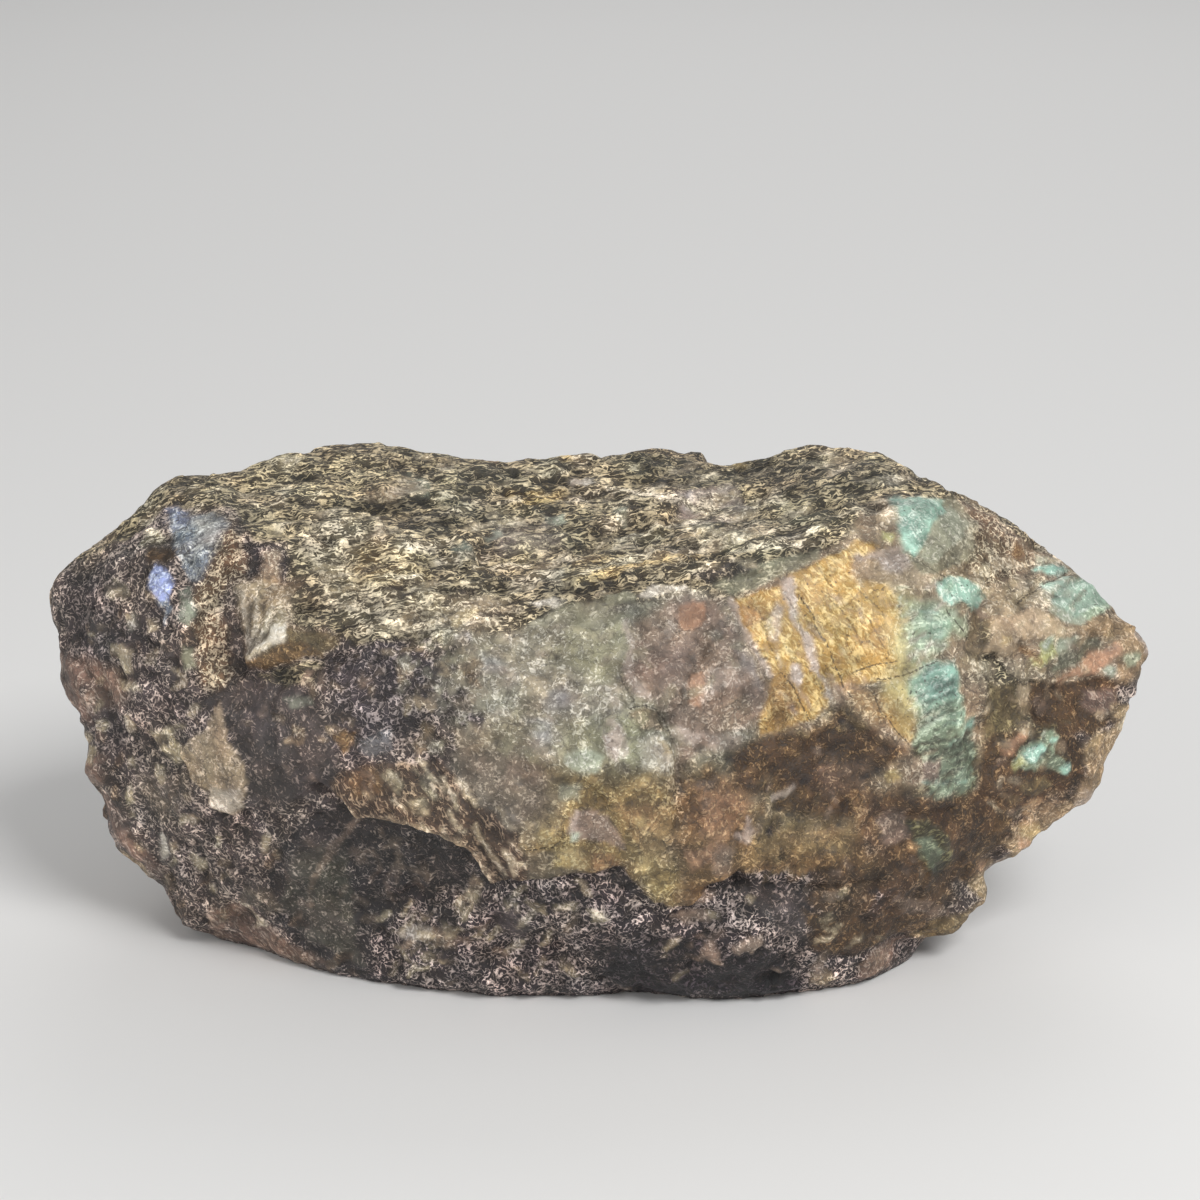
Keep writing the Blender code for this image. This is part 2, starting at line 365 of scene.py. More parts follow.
# The left end: dark speckled stone, with blue flashes, a rusty streak and a wedge of cream crystal.
lay_patches(
    (DARK, 2.5, 1, 0, (-63, 6), (-50, 12), (-40, 12), (-28, -2), (-12, -6), (-11, -31), (-20, -46),
     (-63, -46)),
    (RED_BROWN, 1, 1, 0, (-60, -6), (-54, -7), (-51.8, -9), (-52, -11.5), (-55, -13.5), (-58.5, -12)),
    (VIOLET_DARK, 1, 0.8, 0, (-58, 3), (-55, 3), (-54.5, 0), (-50, -3.5), (-52, -5), (-55, -7), (-58, -6)),
    (VIOLET_DARK, 1, 0.8, 0, (-56, -12), (-53, -12), (-52.5, -18), (-55.5, -17)),
    (RED_BROWN, 1, 1, 0, (-57, -17), (-54.5, -17), (-54, -21), (-49.5, -28), (-47, -32), (-55, -25)),
    (SHADOW, 0.5, 1, 0, (-54.3, -18.8), (-53.3, -18.8), (-53.3, -20.3), (-54.2, -20)),
    (DIM_CLEAR, 1, 0.6, 0, (-51, -19), (-45, -19), (-44, -23), (-47, -24), (-50, -23)),
    (CREAM, 0.4, 0.8, 0.2, (-54.3, -4.8), (-52, -4.7), (-51.4, -5.6), (-51.5, -8), (-52.3, -8),
     (-53.3, -6)),
    (CREAM, 0.4, 0.7, 0, (-54.5, 1.8), (-53.2, 1.5), (-52.3, 0.1), (-53.8, 0)),
    (CREAM, 0.4, 0.8, 0, (-52.4, -12.5), (-51.4, -12.4), (-50.9, -14.6), (-51.8, -15.1)),
    (WHITE, 0.4, 0.6, 0, (-52, -1.8), (-51, -1.4), (-50.9, -3.1), (-51.6, -3.4)),
    (TAN, 0.4, 1, 0.15, (-49.8, -1.9), (-48.7, -1.9), (-48.4, -3.3), (-49.6, -3.6)),
    (CREAM, 0.4, 0.8, 0, (-51.9, -17.4), (-51, -17.3), (-50.9, -18.5), (-51.8, -18.4)),
    (WHITE, 0.4, 1, 0, (-48.4, -25.8), (-47.6, -26), (-47.3, -28), (-48, -28.4)),
    (TAN, 0.4, 1, 0, (-47.2, -26.3), (-46.4, -26.6), (-46.4, -28.2), (-47, -28.3)),
    (BROWN, 0.6, 1, -0.2, (-50.2, 5.9), (-47.4, 5.9), (-46.9, 4.8), (-48.4, 4.2), (-50, 4.5)),
    (CREAM_CRUST, 0.5, 1, 0, (-50.8, 5.9), (-49.6, 7.6), (-48.4, 7.4), (-47.8, 6.5), (-49.5, 6.3)),
    (ICE_BLUE, 0.7, 1, 0, (-47.1, 9), (-44, 8.9), (-41, 8.3), (-40.7, 7.3), (-41.8, 5.8), (-43, 4.2),
     (-43.8, 2.2), (-44.8, 2.2), (-46, 4), (-46.7, 5.3), (-47, 7)),
    (WHITE, 1, 0.6, 0, (-44, 8), (-41.2, 8.1), (-41.3, 6.8), (-43, 6), (-44, 6.6)),
    (BLUE, 1, 0.5, 0, (-46.8, 8.8), (-45.2, 8.6), (-45.4, 7.4), (-46.8, 7.2)),
    (BLUE, 0.5, 1, 0, (-49.7, 3), (-49, 3.8), (-47.7, 3.3), (-47, 2.5), (-46.9, 0.8), (-47.6, -0.3),
     (-49.1, 0.3), (-49.6, 1.5)),
    (ICE_BLUE, 0.5, 0.8, 0, (-49.2, 0.3), (-47.6, -0.2), (-47, -1), (-47.3, -2.5), (-47.9, -2),
     (-48.4, -1)),
    (RUST, 0.9, 0.9, 0, (-44, 2), (-42.5, 5), (-41.5, 7.5), (-40.3, 8.5), (-39, 7), (-38.7, 2.2),
     (-41, 1.8), (-41.3, 0), (-40.6, -4), (-40.4, -8), (-41.5, -10.2), (-43.8, -9.4), (-44.4, -4),
     (-44.2, 0)),
    (PALE_SEA, 0.6, 0.6, 0, (-46, 1), (-45, 1.5), (-44.2, -1), (-44.8, -2.8), (-46, -2.5)),
    (GREEN_GREY, 0.5, 1, 0, (-46, -5.2), (-44.5, -5.4), (-44.2, -7.5), (-45.5, -8)),
    (LIP, 0.5, 0.7, 0, (-45.8, -3.3), (-44.4, -3.2), (-44, -5.3), (-45.8, -5.2)),
    (SLATE, 0.6, 0.8, -0.3, (-39, 6.8), (-37.6, 6), (-37.3, 2.6), (-38.8, 2.3)),
    (SLATE, 0.6, 0.7, -0.2, (-35.2, 5.6), (-34.2, 5.4), (-34, 2), (-35.2, 2)),
    (SMOOTH_DARK, 0.7, 1, 0, (-35.3, 1.8), (-33, 2), (-32, 0), (-34.8, -0.3)),
    (TAN, 0.6, 1, 0, (-37.3, 5.5), (-35.4, 5.5), (-35.4, 0.8), (-36.3, 1.5), (-37.3, 2.4)),
    (SHADOW, 0.6, 0.45, -0.3, (-41, -1.5), (-40, -1.4), (-39.4, -4), (-38.9, -7), (-40, -9), (-41.2, -7.5)),
    (RIND, 1, 0.6, 0, (-40.2, 1.6), (-37, 2.6), (-33, 2.2), (-30.6, 0.6), (-30.8, -3), (-35, -5.2),
     (-38.8, -6), (-40, -1)),
    (CREAM, 0.8, 0.5, 0, (-40, 1), (-38, 2), (-35.6, 1.8), (-33, 0.6), (-32.8, -1.5), (-34.2, -3),
     (-36.5, -4.5), (-38.6, -5.6), (-39.5, -3), (-40, -1)),
    (OLIVE, 0.7, 0.85, 0, (-37, -5.4), (-34.6, -3.7), (-32, -3.2), (-29, -3.4), (-28.8, -5), (-31, -6.2),
     (-34.5, -7), (-38, -7)),
    (HONEY, 0.5, 1, 0, (-39.4, -6.5), (-38, -6.3), (-35.5, -5), (-34.3, -4.7), (-32, -5), (-30.5, -6),
     (-34, -6.9), (-38.6, -7.6)),
    (WHITE, 0.35, 1, 0.25, (-36.3, -3.1), (-34.6, -2.7), (-34.5, -4.6), (-36, -4.9), (-37.5, -5.8),
     (-38.5, -6.6), (-37.8, -5), (-36.5, -4)),
    (CREAM_CRUST, 0.6, 0.8, 0, (-33.9, 5), (-31, 6), (-30, 4.4), (-31.5, 2.3), (-33.6, 2.4)))
for fan in range(6):
    streak((WHITE, SHADOW)[fan % 2], ((-38.6, -6), (-39.4 + 0.95 * fan, 0.6 - 0.35 * fan)), width=0.35,
           weight=0.45)

# Smooth dark stone under the wedge, round a broad flake of tan.
lay_patches(
    (SMOOTH_DARK, 1, 1, 0, (-47.2, -9.6), (-44, -11.2), (-41.5, -10.2), (-39.5, -9.8), (-38, -8),
     (-35, -8.5), (-32, -9.8), (-30, -13), (-29, -16), (-28, -18), (-29.5, -21), (-34, -22.5),
     (-37.5, -24), (-39, -20), (-39.5, -17.5), (-41, -15), (-42.5, -12.8)),
    (SMOOTH_DARK, 0.6, 1, 0, (-47.8, -5.3), (-46.2, -5), (-45.8, -9), (-47.6, -9)),
    (CRUST, 0.6, 1, 0, (-36, -7.6), (-30.5, -6.7), (-30.2, -9), (-34.5, -9.6), (-38.3, -8.3)),
    (PALE_SEA, 0.6, 0.5, 0, (-34.2, -10.7), (-31.8, -10.6), (-31.4, -11.6), (-33.6, -11.8)),
    (CREAM, 0.4, 0.8, 0.2, (-49.4, -14.4), (-47.5, -14.1), (-46.7, -15.4), (-45.8, -17.3), (-46.3, -18),
     (-47.3, -17.4), (-48.3, -16)),
    (TAN, 0.4, 1, 0, (-34.8, -16), (-33.6, -14), (-32.3, -14.3), (-33.1, -15.9)))

# The middle of the left: violet-dark speckled stone with an orange wedge.
lay_patches(
    (VIOLET_DARK, 1.8, 1, 0, (-30, -6), (-27, -5.5), (-25.5, -4.5), (-22, -5), (-20, -4.2), (-18.2, -4.1),
     (-17.3, -6), (-16.8, -9), (-17.5, -13), (-20, -15), (-24, -17.5), (-27, -16.5), (-29, -12), (-30, -9)),
    (TAN, 0.4, 0.8, 0, (-22.4, -6.7), (-21.1, -6.4), (-21.2, -8.6), (-22, -9.8)),
    (BLUE_CLEAR, 0.6, 0.45, 0, (-26, -15.2), (-23, -14.5), (-22.8, -16.6), (-25, -17.3), (-26, -16.5)),
    (SHADOW, 0.5, 1, 0, (-29.5, -12.5), (-28.5, -11.6), (-27.4, -12.5), (-27.7, -13.9), (-29.2, -13.9)),
    (HONEY, 0.4, 1, 0, (-30, -13.9), (-28.7, -13.7), (-27, -14.5), (-26.1, -14.2), (-27.5, -16),
     (-28, -16.9), (-28.8, -16), (-29.3, -14.8)))

# The clear grey belly.
lay_patches(
    (CLEAR, 1.6, 1, 0, (-17.5, -4), (-9, -1), (1, 0.6), (7, 1), (14.5, 0.5), (16.5, -4), (19, -9),
     (18, -15), (11, -18), (9, -20), (0, -22), (-5, -26), (-11, -26), (-15, -20), (-17, -13)),
    (DIM_CLEAR, 1.6, 1, 0, (-17, -13), (-12, -15.5), (-7, -16.5), (-4, -18), (-5, -23), (-9, -26.5),
     (-12.5, -24), (-16, -19)),
    (BLUE_CLEAR, 1, 0.7, 0, (-14, -5.8), (-11, -5.5), (-10.8, -7.4), (-13.5, -8)),
    (BLUE_CLEAR, 1, 0.7, 0, (-6.3, -9.8), (-3.8, -9.8), (-3.5, -11.5), (-6, -11.6)),
    (BLUE_CLEAR, 1, 0.8, 0, (-8.3, -13), (-5.5, -13.3), (-5.2, -15.8), (-7.5, -16)),
    (TAN, 1, 0.5, 0, (-13.5, -12.7), (-8.5, -12.7), (-8.6, -15), (-13.8, -16.6)),
    (HONEY, 1, 0.35, 0, (-9, -10), (-6, -10.3), (-6.5, -13), (-9, -13)),
    (CREAM, 0.6, 0.6, 0, (-8.8, -8.1), (-5.7, -8.2), (-5.9, -10.5), (-8.9, -10.1)),
    (SEA_CLEAR, 1, 0.7, 0, (-3, -1), (3, -2), (4, -6), (1, -9), (-3, -7)),
    (SEA_CLEAR, 1, 0.8, 0, (-4, -13.5), (3, -12.5), (4.3, -15), (4.2, -19), (-4, -19)),
    (MAUVE, 1, 0.5, 0, (-10, -17.5), (-7, -17.3), (-6, -20.5), (-10.5, -20)))

# Yellow glow along the belly's lower edge, round a small grey plate.
lay_patches(
    (GLOW, 2, 1, 0, (-5.5, -18.6), (-2, -19), (2, -19), (5, -18.9), (8.3, -19.3), (8.7, -22), (8.4, -29),
     (9, -34), (6, -34), (4, -31.5), (2.6, -29.3), (0.5, -29.8), (-1.5, -30.6), (-8, -31.2), (-9.5, -28),
     (-8, -26), (-5, -22)),
    (DIM_CLEAR, 0.7, 0.8, 0, (-9.5, -27.3), (-5, -27.2), (-5, -29), (-2, -30.2), (-8, -31)),
    (YELLOW, 0.4, 1, 0.2, (-6.6, -25), (-5.3, -24.7), (-4.8, -26), (-5.8, -26.7), (-6.7, -26)),
    (YELLOW, 0.6, 0.8, 0, (-4.8, -27), (-3, -27), (-2, -28.5), (-1.2, -29.6), (-3, -29.9), (-4.9, -28.8)),
    (AMBER, 0.5, 0.8, 0, (-1.3, -27.9), (1, -27.8), (2.3, -29), (1, -30), (-1, -30.4)),
    (AMBER, 1, 0.7, 0, (2, -22.6), (6, -22), (8.3, -23), (8.3, -28.5), (5, -28), (2.8, -26)),
    (YELLOW, 0.5, 1, 0, (3.5, -23.8), (4.8, -23.6), (5, -24.8), (3.7, -24.8)),
    (YELLOW, 0.5, 0.8, 0, (4.2, -28.3), (5.4, -28), (5.5, -29.8), (4.5, -30)),
    (YELLOW, 0.6, 0.7, 0, (3.8, -19.4), (5.5, -19.2), (5.7, -20.5), (4, -21)),
    (PALE_SEA, 0.7, 0.6, 0, (-4.5, -20.5), (-2, -20.6), (-2.3, -22.2), (-4.4, -22)),
    (MAUVE, 0.35, 1, 0.25, (-3, -23.4), (-1, -22.8), (0.8, -23.5), (2, -25.5), (2.7, -27.4), (0, -26.4),
     (-3.4, -26.3)),
    (PALE_SEA, 0.3, 1, 0, (-3.4, -25.3), (-2.2, -25.6), (-2.4, -26.5), (-3.5, -26.6)))

# Plates of mauve, salmon and white on the belly's right.
lay_patches(
    (MAUVE, 1, 1, 0, (3.8, -2), (6, -0.8), (8.4, 0.2), (13, 0.3), (14.8, -2.3), (16.3, -4), (18.6, -9),
     (17.8, -13.5), (14, -14.5), (11, -17), (9.3, -19.5), (8, -14.5), (6, -11), (2.5, -8.2), (3.5, -6)),
    (SALMON, 0.4, 1, -0.15, (8.1, -1.9), (9.4, -0.3), (11.6, -0.1), (11.9, -2), (11, -2.9), (9.2, -3.3)),
    (SALMON, 0.4, 0.6, 0, (9.7, -8.3), (11.3, -7.9), (11.6, -9.5), (11.2, -11.8), (9.8, -11.2),
     (9.5, -9.5)),
    (LILAC, 0.7, 0.5, 0, (11.9, -7.8), (15, -6.8), (16.8, -8), (16.2, -9.5), (13, -10), (12, -10.5)),
    (BLUE_CLEAR, 0.7, 0.35, 0, (14.6, -4.5), (16.3, -4.3), (18, -8), (17.6, -10), (16, -7.5)),
    (TAN, 0.8, 0.6, 0, (13, -11.5), (16.5, -10.5), (16.8, -13), (13.5, -14)),
    (BROWN, 0.4, 0.7, 0, (3, -12.6), (4.8, -11.4), (6.8, -12.4), (7.4, -14.6), (5.6, -14.3), (4.2, -14.6)),
    (LILAC, 0.35, 1, 0.15, (0.2, -14.8), (1.9, -13.9), (2.3, -15.5), (2, -17.6), (1.1, -17)),
    (PALE_SEA, 0.5, 0.8, 0.15, (-3.4, -16.8), (-1.5, -16.1), (0.4, -17), (0, -19), (-2, -19.4),
     (-3.6, -18)),
    (WHITE, 0.35, 0.4, 0.15, (4.2, -15.8), (5.4, -14.7), (6.9, -15.3), (7.9, -17.5), (7.6, -18.9),
     (4.9, -18.7)),
    (YELLOW, 0.3, 0.7, 0, (6.4, -15.4), (7.2, -15.9), (7.9, -17), (7, -17)),
    (LILAC, 0.35, 1, 0.2, (8, -14.1), (9.3, -13.8), (11.4, -14.8), (10.5, -16.1), (9.7, -16), (8.2, -15.1)),
    (LILAC, 0.6, 0.5, 0, (11.5, -14.8), (14, -14.6), (16, -15), (15.5, -16.6), (12, -16.5)))

# Brown stone and honey below the flash face.
lay_patches(
    (HONEY, 1.6, 1, 0, (9, -20), (12, -18), (16, -19), (18, -23), (22, -24.5), (28, -24), (30.2, -22.5),
     (29.6, -27), (31, -31), (25, -32), (15, -30), (11, -33), (8.8, -34), (8.6, -28)),
    (BROWN, 1, 1, 0, (17, -15.3), (20, -14.2), (24, -13.8), (25.2, -11.5), (27, -10.7), (29, -11.5),
     (31, -13.3), (33.5, -16), (34.2, -18), (30, -20), (30, -22), (28, -24), (22, -24.5), (18, -23),
     (15.2, -21), (14.5, -17)),
    (MAUVE, 1, 0.3, 0, (24, -17.5), (30, -18), (29.5, -20.5), (25, -21.5)),
    (GREEN_GREY, 1, 0.35, 0, (15.5, -21.5), (19, -21), (20.5, -25), (16.2, -26)),
    (OLIVE, 0.6, 0.7, 0, (26.8, -11.8), (29, -12), (30, -14), (27.5, -14.5)),
    (AMBER, 0.4, 0.6, 0.2, (27.6, -20.9), (29.7, -20.9), (29.9, -23.4), (28, -25), (27.4, -22.5)),
    (SALMON, 0.6, 0.5, 0, (9.4, -27.4), (12, -26.9), (12.6, -28.5), (10, -29.9)),
    (MAUVE, 0.6, 0.7, 0, (12.5, -26.4), (14.6, -27.4), (14.1, -30), (12.2, -29.8)),
    (SALMON, 1.3, 0.36, 0, (10.7, -20.5), (14, -19.6), (15.6, -22), (14.4, -26), (12, -27.5), (10.6, -25)),
    (YELLOW, 1.4, 0.35, 0, (16.5, -26.5), (19, -24.2), (27.5, -23.8), (28, -26), (23, -27.4), (18, -28.4)),
    (YELLOW, 1.8, 0.3, 0, (3, -23.5), (8, -24), (8.3, -31), (5, -31)),
    (YELLOW, 0.4, 0.8, 0, (18.8, -29.9), (21.2, -30), (21.6, -30.8), (19, -30.8)),
    (AMBER, 0.8, 0.5, 0, (20, -25.5), (27, -24.8), (27, -26.2), (21, -27)))
for dark_spot in ((26.8, -13.5), (22.7, -20), (18.9, -25), (30.3, -19.1), (29, -19.9), (27.5, -14.1),
                  (38.5, -25.8)):
    spot(SHADOW, dark_spot, 0.45)

# The colour-flash face: gold, turning to teal towards the valley on its right.
lay_patches(
    (TAN, 1, 1, 0, (14.5, 0.3), (20, 3.6), (27, 7), (28.5, 10.5), (33, 11.5), (41, 11), (46, 7), (44, 1),
     (42.5, -5), (41, -9), (42, -16), (42, -22), (30, -23), (30, -20), (34, -17), (27, -11), (24, -14),
     (17.5, -14.5), (18.8, -9), (16, -4)),
    (GOLD, 0.5, 1, 0, (14.7, 0.3), (17.5, 1.2), (19.7, 1.3), (20.8, 2.6), (24, 3.9), (26.5, 5.3),
     (28.5, 6.6), (30.6, 5.9), (30, 4.6), (28, 4.2), (27.6, 2.8), (28.5, 1.8), (30, 2.2), (31.5, 1),
     (32.6, 0), (32.6, -2), (32.4, -5.6), (33.5, -7), (33, -8.2), (30, -9.2), (26, -9.4), (24.8, -9.8),
     (25.2, -11), (24, -13.2), (22, -13.7), (18, -15), (17.5, -13.5), (18.7, -10), (19, -7.8), (17.5, -5),
     (16, -3.5), (15, -1.5)),
    (AMBER, 1, 0.55, 0, (18.6, -8), (20, -8.2), (21.6, -10.4), (22.5, -13.5), (19, -14.6), (18, -12)),
    (SALMON, 1, 0.5, 0, (15, -0.3), (17, 0), (17.8, -1.8), (16, -2.5)),
    (SALMON, 1, 0.6, 0, (25.5, -9.5), (28.5, -8.8), (30, -11), (27, -10.6)),
    (PALE_GOLD, 1.9, 1, 0, (32.2, 0.2), (34.2, 0), (35, -3), (34, -6), (35.5, -7.1), (33, -7), (32, -5.5),
     (32.3, -2)),
    (SMOOTH_TAN, 0.9, 0.8, 0, (28, 4.2), (28.2, 2), (30, 1.7), (32, 1.4), (34, 1.5), (36.5, -0.4),
     (37.3, 0.6), (37, 2.2), (34.6, 4), (33.5, 5.6), (31, 4.9), (29.8, 4.6)),
    (LILAC, 0.6, 1, 0, (30.6, 4.5), (33.2, 5.2), (34.3, 4), (33, 2.8), (31, 3)),
    (TEAL, 1, 1, 0, (33.4, -0.4), (36.3, 0.2), (38.6, -1), (39.3, -3), (38.6, -4.8), (37, -6.2),
     (34.6, -6.8), (33.6, -4.5)),
    (BRIGHT_TEAL, 1, 0.4, 0, (35.4, -2), (37.8, -1.8), (38, -4.6), (36, -5.4)),
    (TEAL, 0.6, 0.6, 0, (38.4, -1.8), (40.6, -1.6), (40.8, -4.3), (39.4, -4.4)),
    (BRIGHT_TEAL, 0.3, 0.9, 0, (36.4, 1.6), (38.5, 2.7), (41, 2.3), (43, 0.6), (42.2, -0.4), (41.2, -1.2),
     (39.6, -0.4), (38.2, -0.6), (37.2, 0.2)),
    (DEEP_TEAL, 0.4, 0.6, 0, (38.3, 0.1), (40.5, -0.3), (42, -0.7), (40.5, -1.2), (38.6, -0.8)),
    (GREEN_GREY, 0.3, 0.75, 0, (36.6, 11.6), (38.6, 11.4), (41.6, 8.6), (41.2, 4.6), (38.6, 3.6),
     (35, 2.4), (34, 4.2), (36, 7.6)),
    (PALE_SEA, 0.35, 0.4, 0, (36.4, 10.4), (38.6, 10.6), (40.6, 8.6), (39.4, 6.4), (36.4, 3.6),
     (35.2, 4.4), (36.4, 7.6)),
    (BRIGHT_TEAL, 0.6, 0.9, 0, (31.6, 11.4), (34, 11.9), (37.6, 11.4), (38.2, 10.2), (36.9, 8.6),
     (35.6, 5.8), (34.4, 4.6), (33.2, 5.4), (32.6, 7.5), (32.2, 9)),
    (LIME, 0.4, 0.8, 0, (30.9, 7.7), (32.2, 7.1), (32.1, 6.1), (30.9, 6.7)),
    (CREAM, 0.6, 0.8, 0, (28.4, 10.6), (31, 11.3), (32.6, 10), (33, 8.4), (31.5, 8.2), (30, 9.4)),
    (CREAM, 0.6, 0.7, 0, (22, 8.4), (28, 8.8), (28.5, 7.4), (25, 6.4), (22, 7.2)),
    (LILAC, 0.35, 1, 0.1, (20.1, 2.1), (21.1, 2.5), (21.6, 0), (21.8, -2), (21, -2.4), (20.8, -0.5),
     (20.2, 0.8)),
    (LILAC, 0.5, 0.7, 0, (18, -2.2), (19.5, -0.3), (20.3, -1), (19.8, -3.5), (19.5, -5), (18.7, -4.2)),
    (LILAC, 0.35, 0.9, 0, (22.7, -3.4), (23.4, -4.1), (23.8, -6.5), (24.3, -8.6), (23.3, -7.8),
     (22.6, -6), (22.3, -4.5)),
    (LILAC, 0.35, 1, 0.15, (21.1, -7.4), (22, -7.2), (22.4, -8.6), (21.8, -10), (20.8, -8.8)),
    (YELLOW, 0.6, 1, 0, (33, -8.6), (35.2, -8.6), (35, -10.5), (33.5, -11.8), (31.8, -12), (30.8, -10)),
    (GOLD, 0.7, 1, 0, (31, -12.2), (33.5, -12), (35.3, -13), (35, -15.5), (33.6, -15.5)),
    (BRIGHT_TEAL, 0.8, 1, 0, (33.6, -8.4), (36.5, -6.9), (39.4, -6.9), (40.2, -9.5), (40, -11.4),
     (37, -12), (34.4, -11)),
    (TEAL, 0.8, 1, 0, (34.2, -10.8), (40, -10.6), (40.4, -12.5), (40.2, -14.6), (37, -16), (34.6, -15.4),
     (34.5, -13.5)),
    (DEEP_TEAL, 0.8, 0.9, 0, (34.2, -15.4), (39.3, -14.3), (41.8, -15.6), (42, -19), (41.4, -22),
     (38, -22.6), (35.6, -21), (36.2, -18), (34, -17.5)))
for low in range(7):
    streak(TEAL, ((34.6 + 0.4 * low, -15.6 - low), (37.5, -15.2 - low), (41.2, -13.6 - low)), width=0.7,
           weight=0.5)
lay_patches(
    (TEAL, 0.5, 0.6, 0, (38.6, -19.6), (40.7, -17.9), (41, -20.4), (39.5, -22.1), (36.7, -21.8),
     (37.4, -20.4)),
    (PALE_GOLD, 1.5, 0.7, 0, (31.5, -7.6), (34.6, -7.4), (35, -11), (33.6, -14), (32.6, -11.5)))
flakes((TAN, DEEP_TEAL, OLIVE, TEAL, BRIGHT_TEAL), ((33.8, -8.5), (41.5, -7.5), (42.4, -21), (35, -22.5)),
       50, 17, length=2.6, width=0.55, rise=20.0, sway=20.0, weight=0.45, lift=0.12)
flakes((TEAL, BRIGHT_TEAL, TAN, PALE_SEA, LILAC), ((32, 1), (38, 2.5), (39, -5), (34, -6.5)), 30, 18,
       length=2.2, width=0.6, rise=30.0, sway=40.0, weight=0.5, lift=0.12)
lay_patches(
    (BRIGHT_TEAL, 0.9, 0.55, 0, (34.4, -8.2), (37, -7.2), (39.4, -7.6), (39.6, -11), (36, -12),
     (34.4, -11)),
    (GOLD, 1, 0.5, 0, (27.5, -9.9), (33, -9.9), (33.4, -13), (30.5, -13.4), (28, -11.5)),
    (DEEP_TEAL, 0.7, 0.7, 0, (33, -20.5), (35.6, -20.5), (35.6, -22.5), (31.5, -22.7)),
    (MAUVE, 0.5, 0.9, 0, (35.3, -18), (37.4, -17.8), (37.3, -19.8), (35.5, -20)))
spot(YELLOW, (32, -19.7), 0.7)
spot(BRIGHT_TEAL, (40.9, -13.6), 0.6)

# The valley and the crumbled edge past it.
lay_patches(
    (TAN, 0.6, 1, 0, (41, 10.5), (46, 7.5), (52, 4), (57, -0.5), (60.5, -5), (58, -9), (50, -9.5),
     (46, -9), (44, -6), (43.2, -1), (42.5, 3)),
    (OLIVE, 0.5, 0.6, 0, (41, -1.6), (42.8, -0.6), (43.2, -2), (42.7, -4.5), (42.2, -6), (41.3, -8.5),
     (40, -7), (40.8, -4.3)),
    (RUST, 0.8, 0.7, 0, (40.5, 10.5), (43, 10), (46.5, 6.5), (48.5, 4.5), (46, 2.5), (43, 2), (40.5, 4.5),
     (41.2, 8)),
    (CREAM, 0.5, 0.6, 0, (43, 5), (47.8, 4.6), (47.5, 3.8), (44, 3.6), (42.3, 2.2), (41.3, 3.2)),
    (CREAM, 0.4, 0.7, 0, (40, 3), (42, 2.4), (43.4, 1), (43.3, 0.2), (42.3, 1.2), (41, 2)),
    (AMBER, 0.5, 1, 0, (45.9, 6.6), (47.6, 5.8), (46.8, 5), (45.8, 5.4)),
    (TAN, 0.7, 0.5, 0, (39.8, -7), (43.5, -6.8), (44.3, -9), (42.8, -12), (40.5, -13), (39.9, -10)),
    (CREAM, 0.5, 0.7, 0, (41, -6.8), (43.4, -6.7), (43.2, -8.3), (41.4, -8.2)),
    (OLIVE, 0.7, 1, 0, (43, -9), (45.8, -9.5), (46.6, -12.5), (45, -14.5), (42, -15.4), (42.3, -12)),
    (CREAM, 0.4, 0.6, 0, (40.2, -12.8), (42, -12), (43, -11), (42.3, -12.5), (40.4, -13.8)))

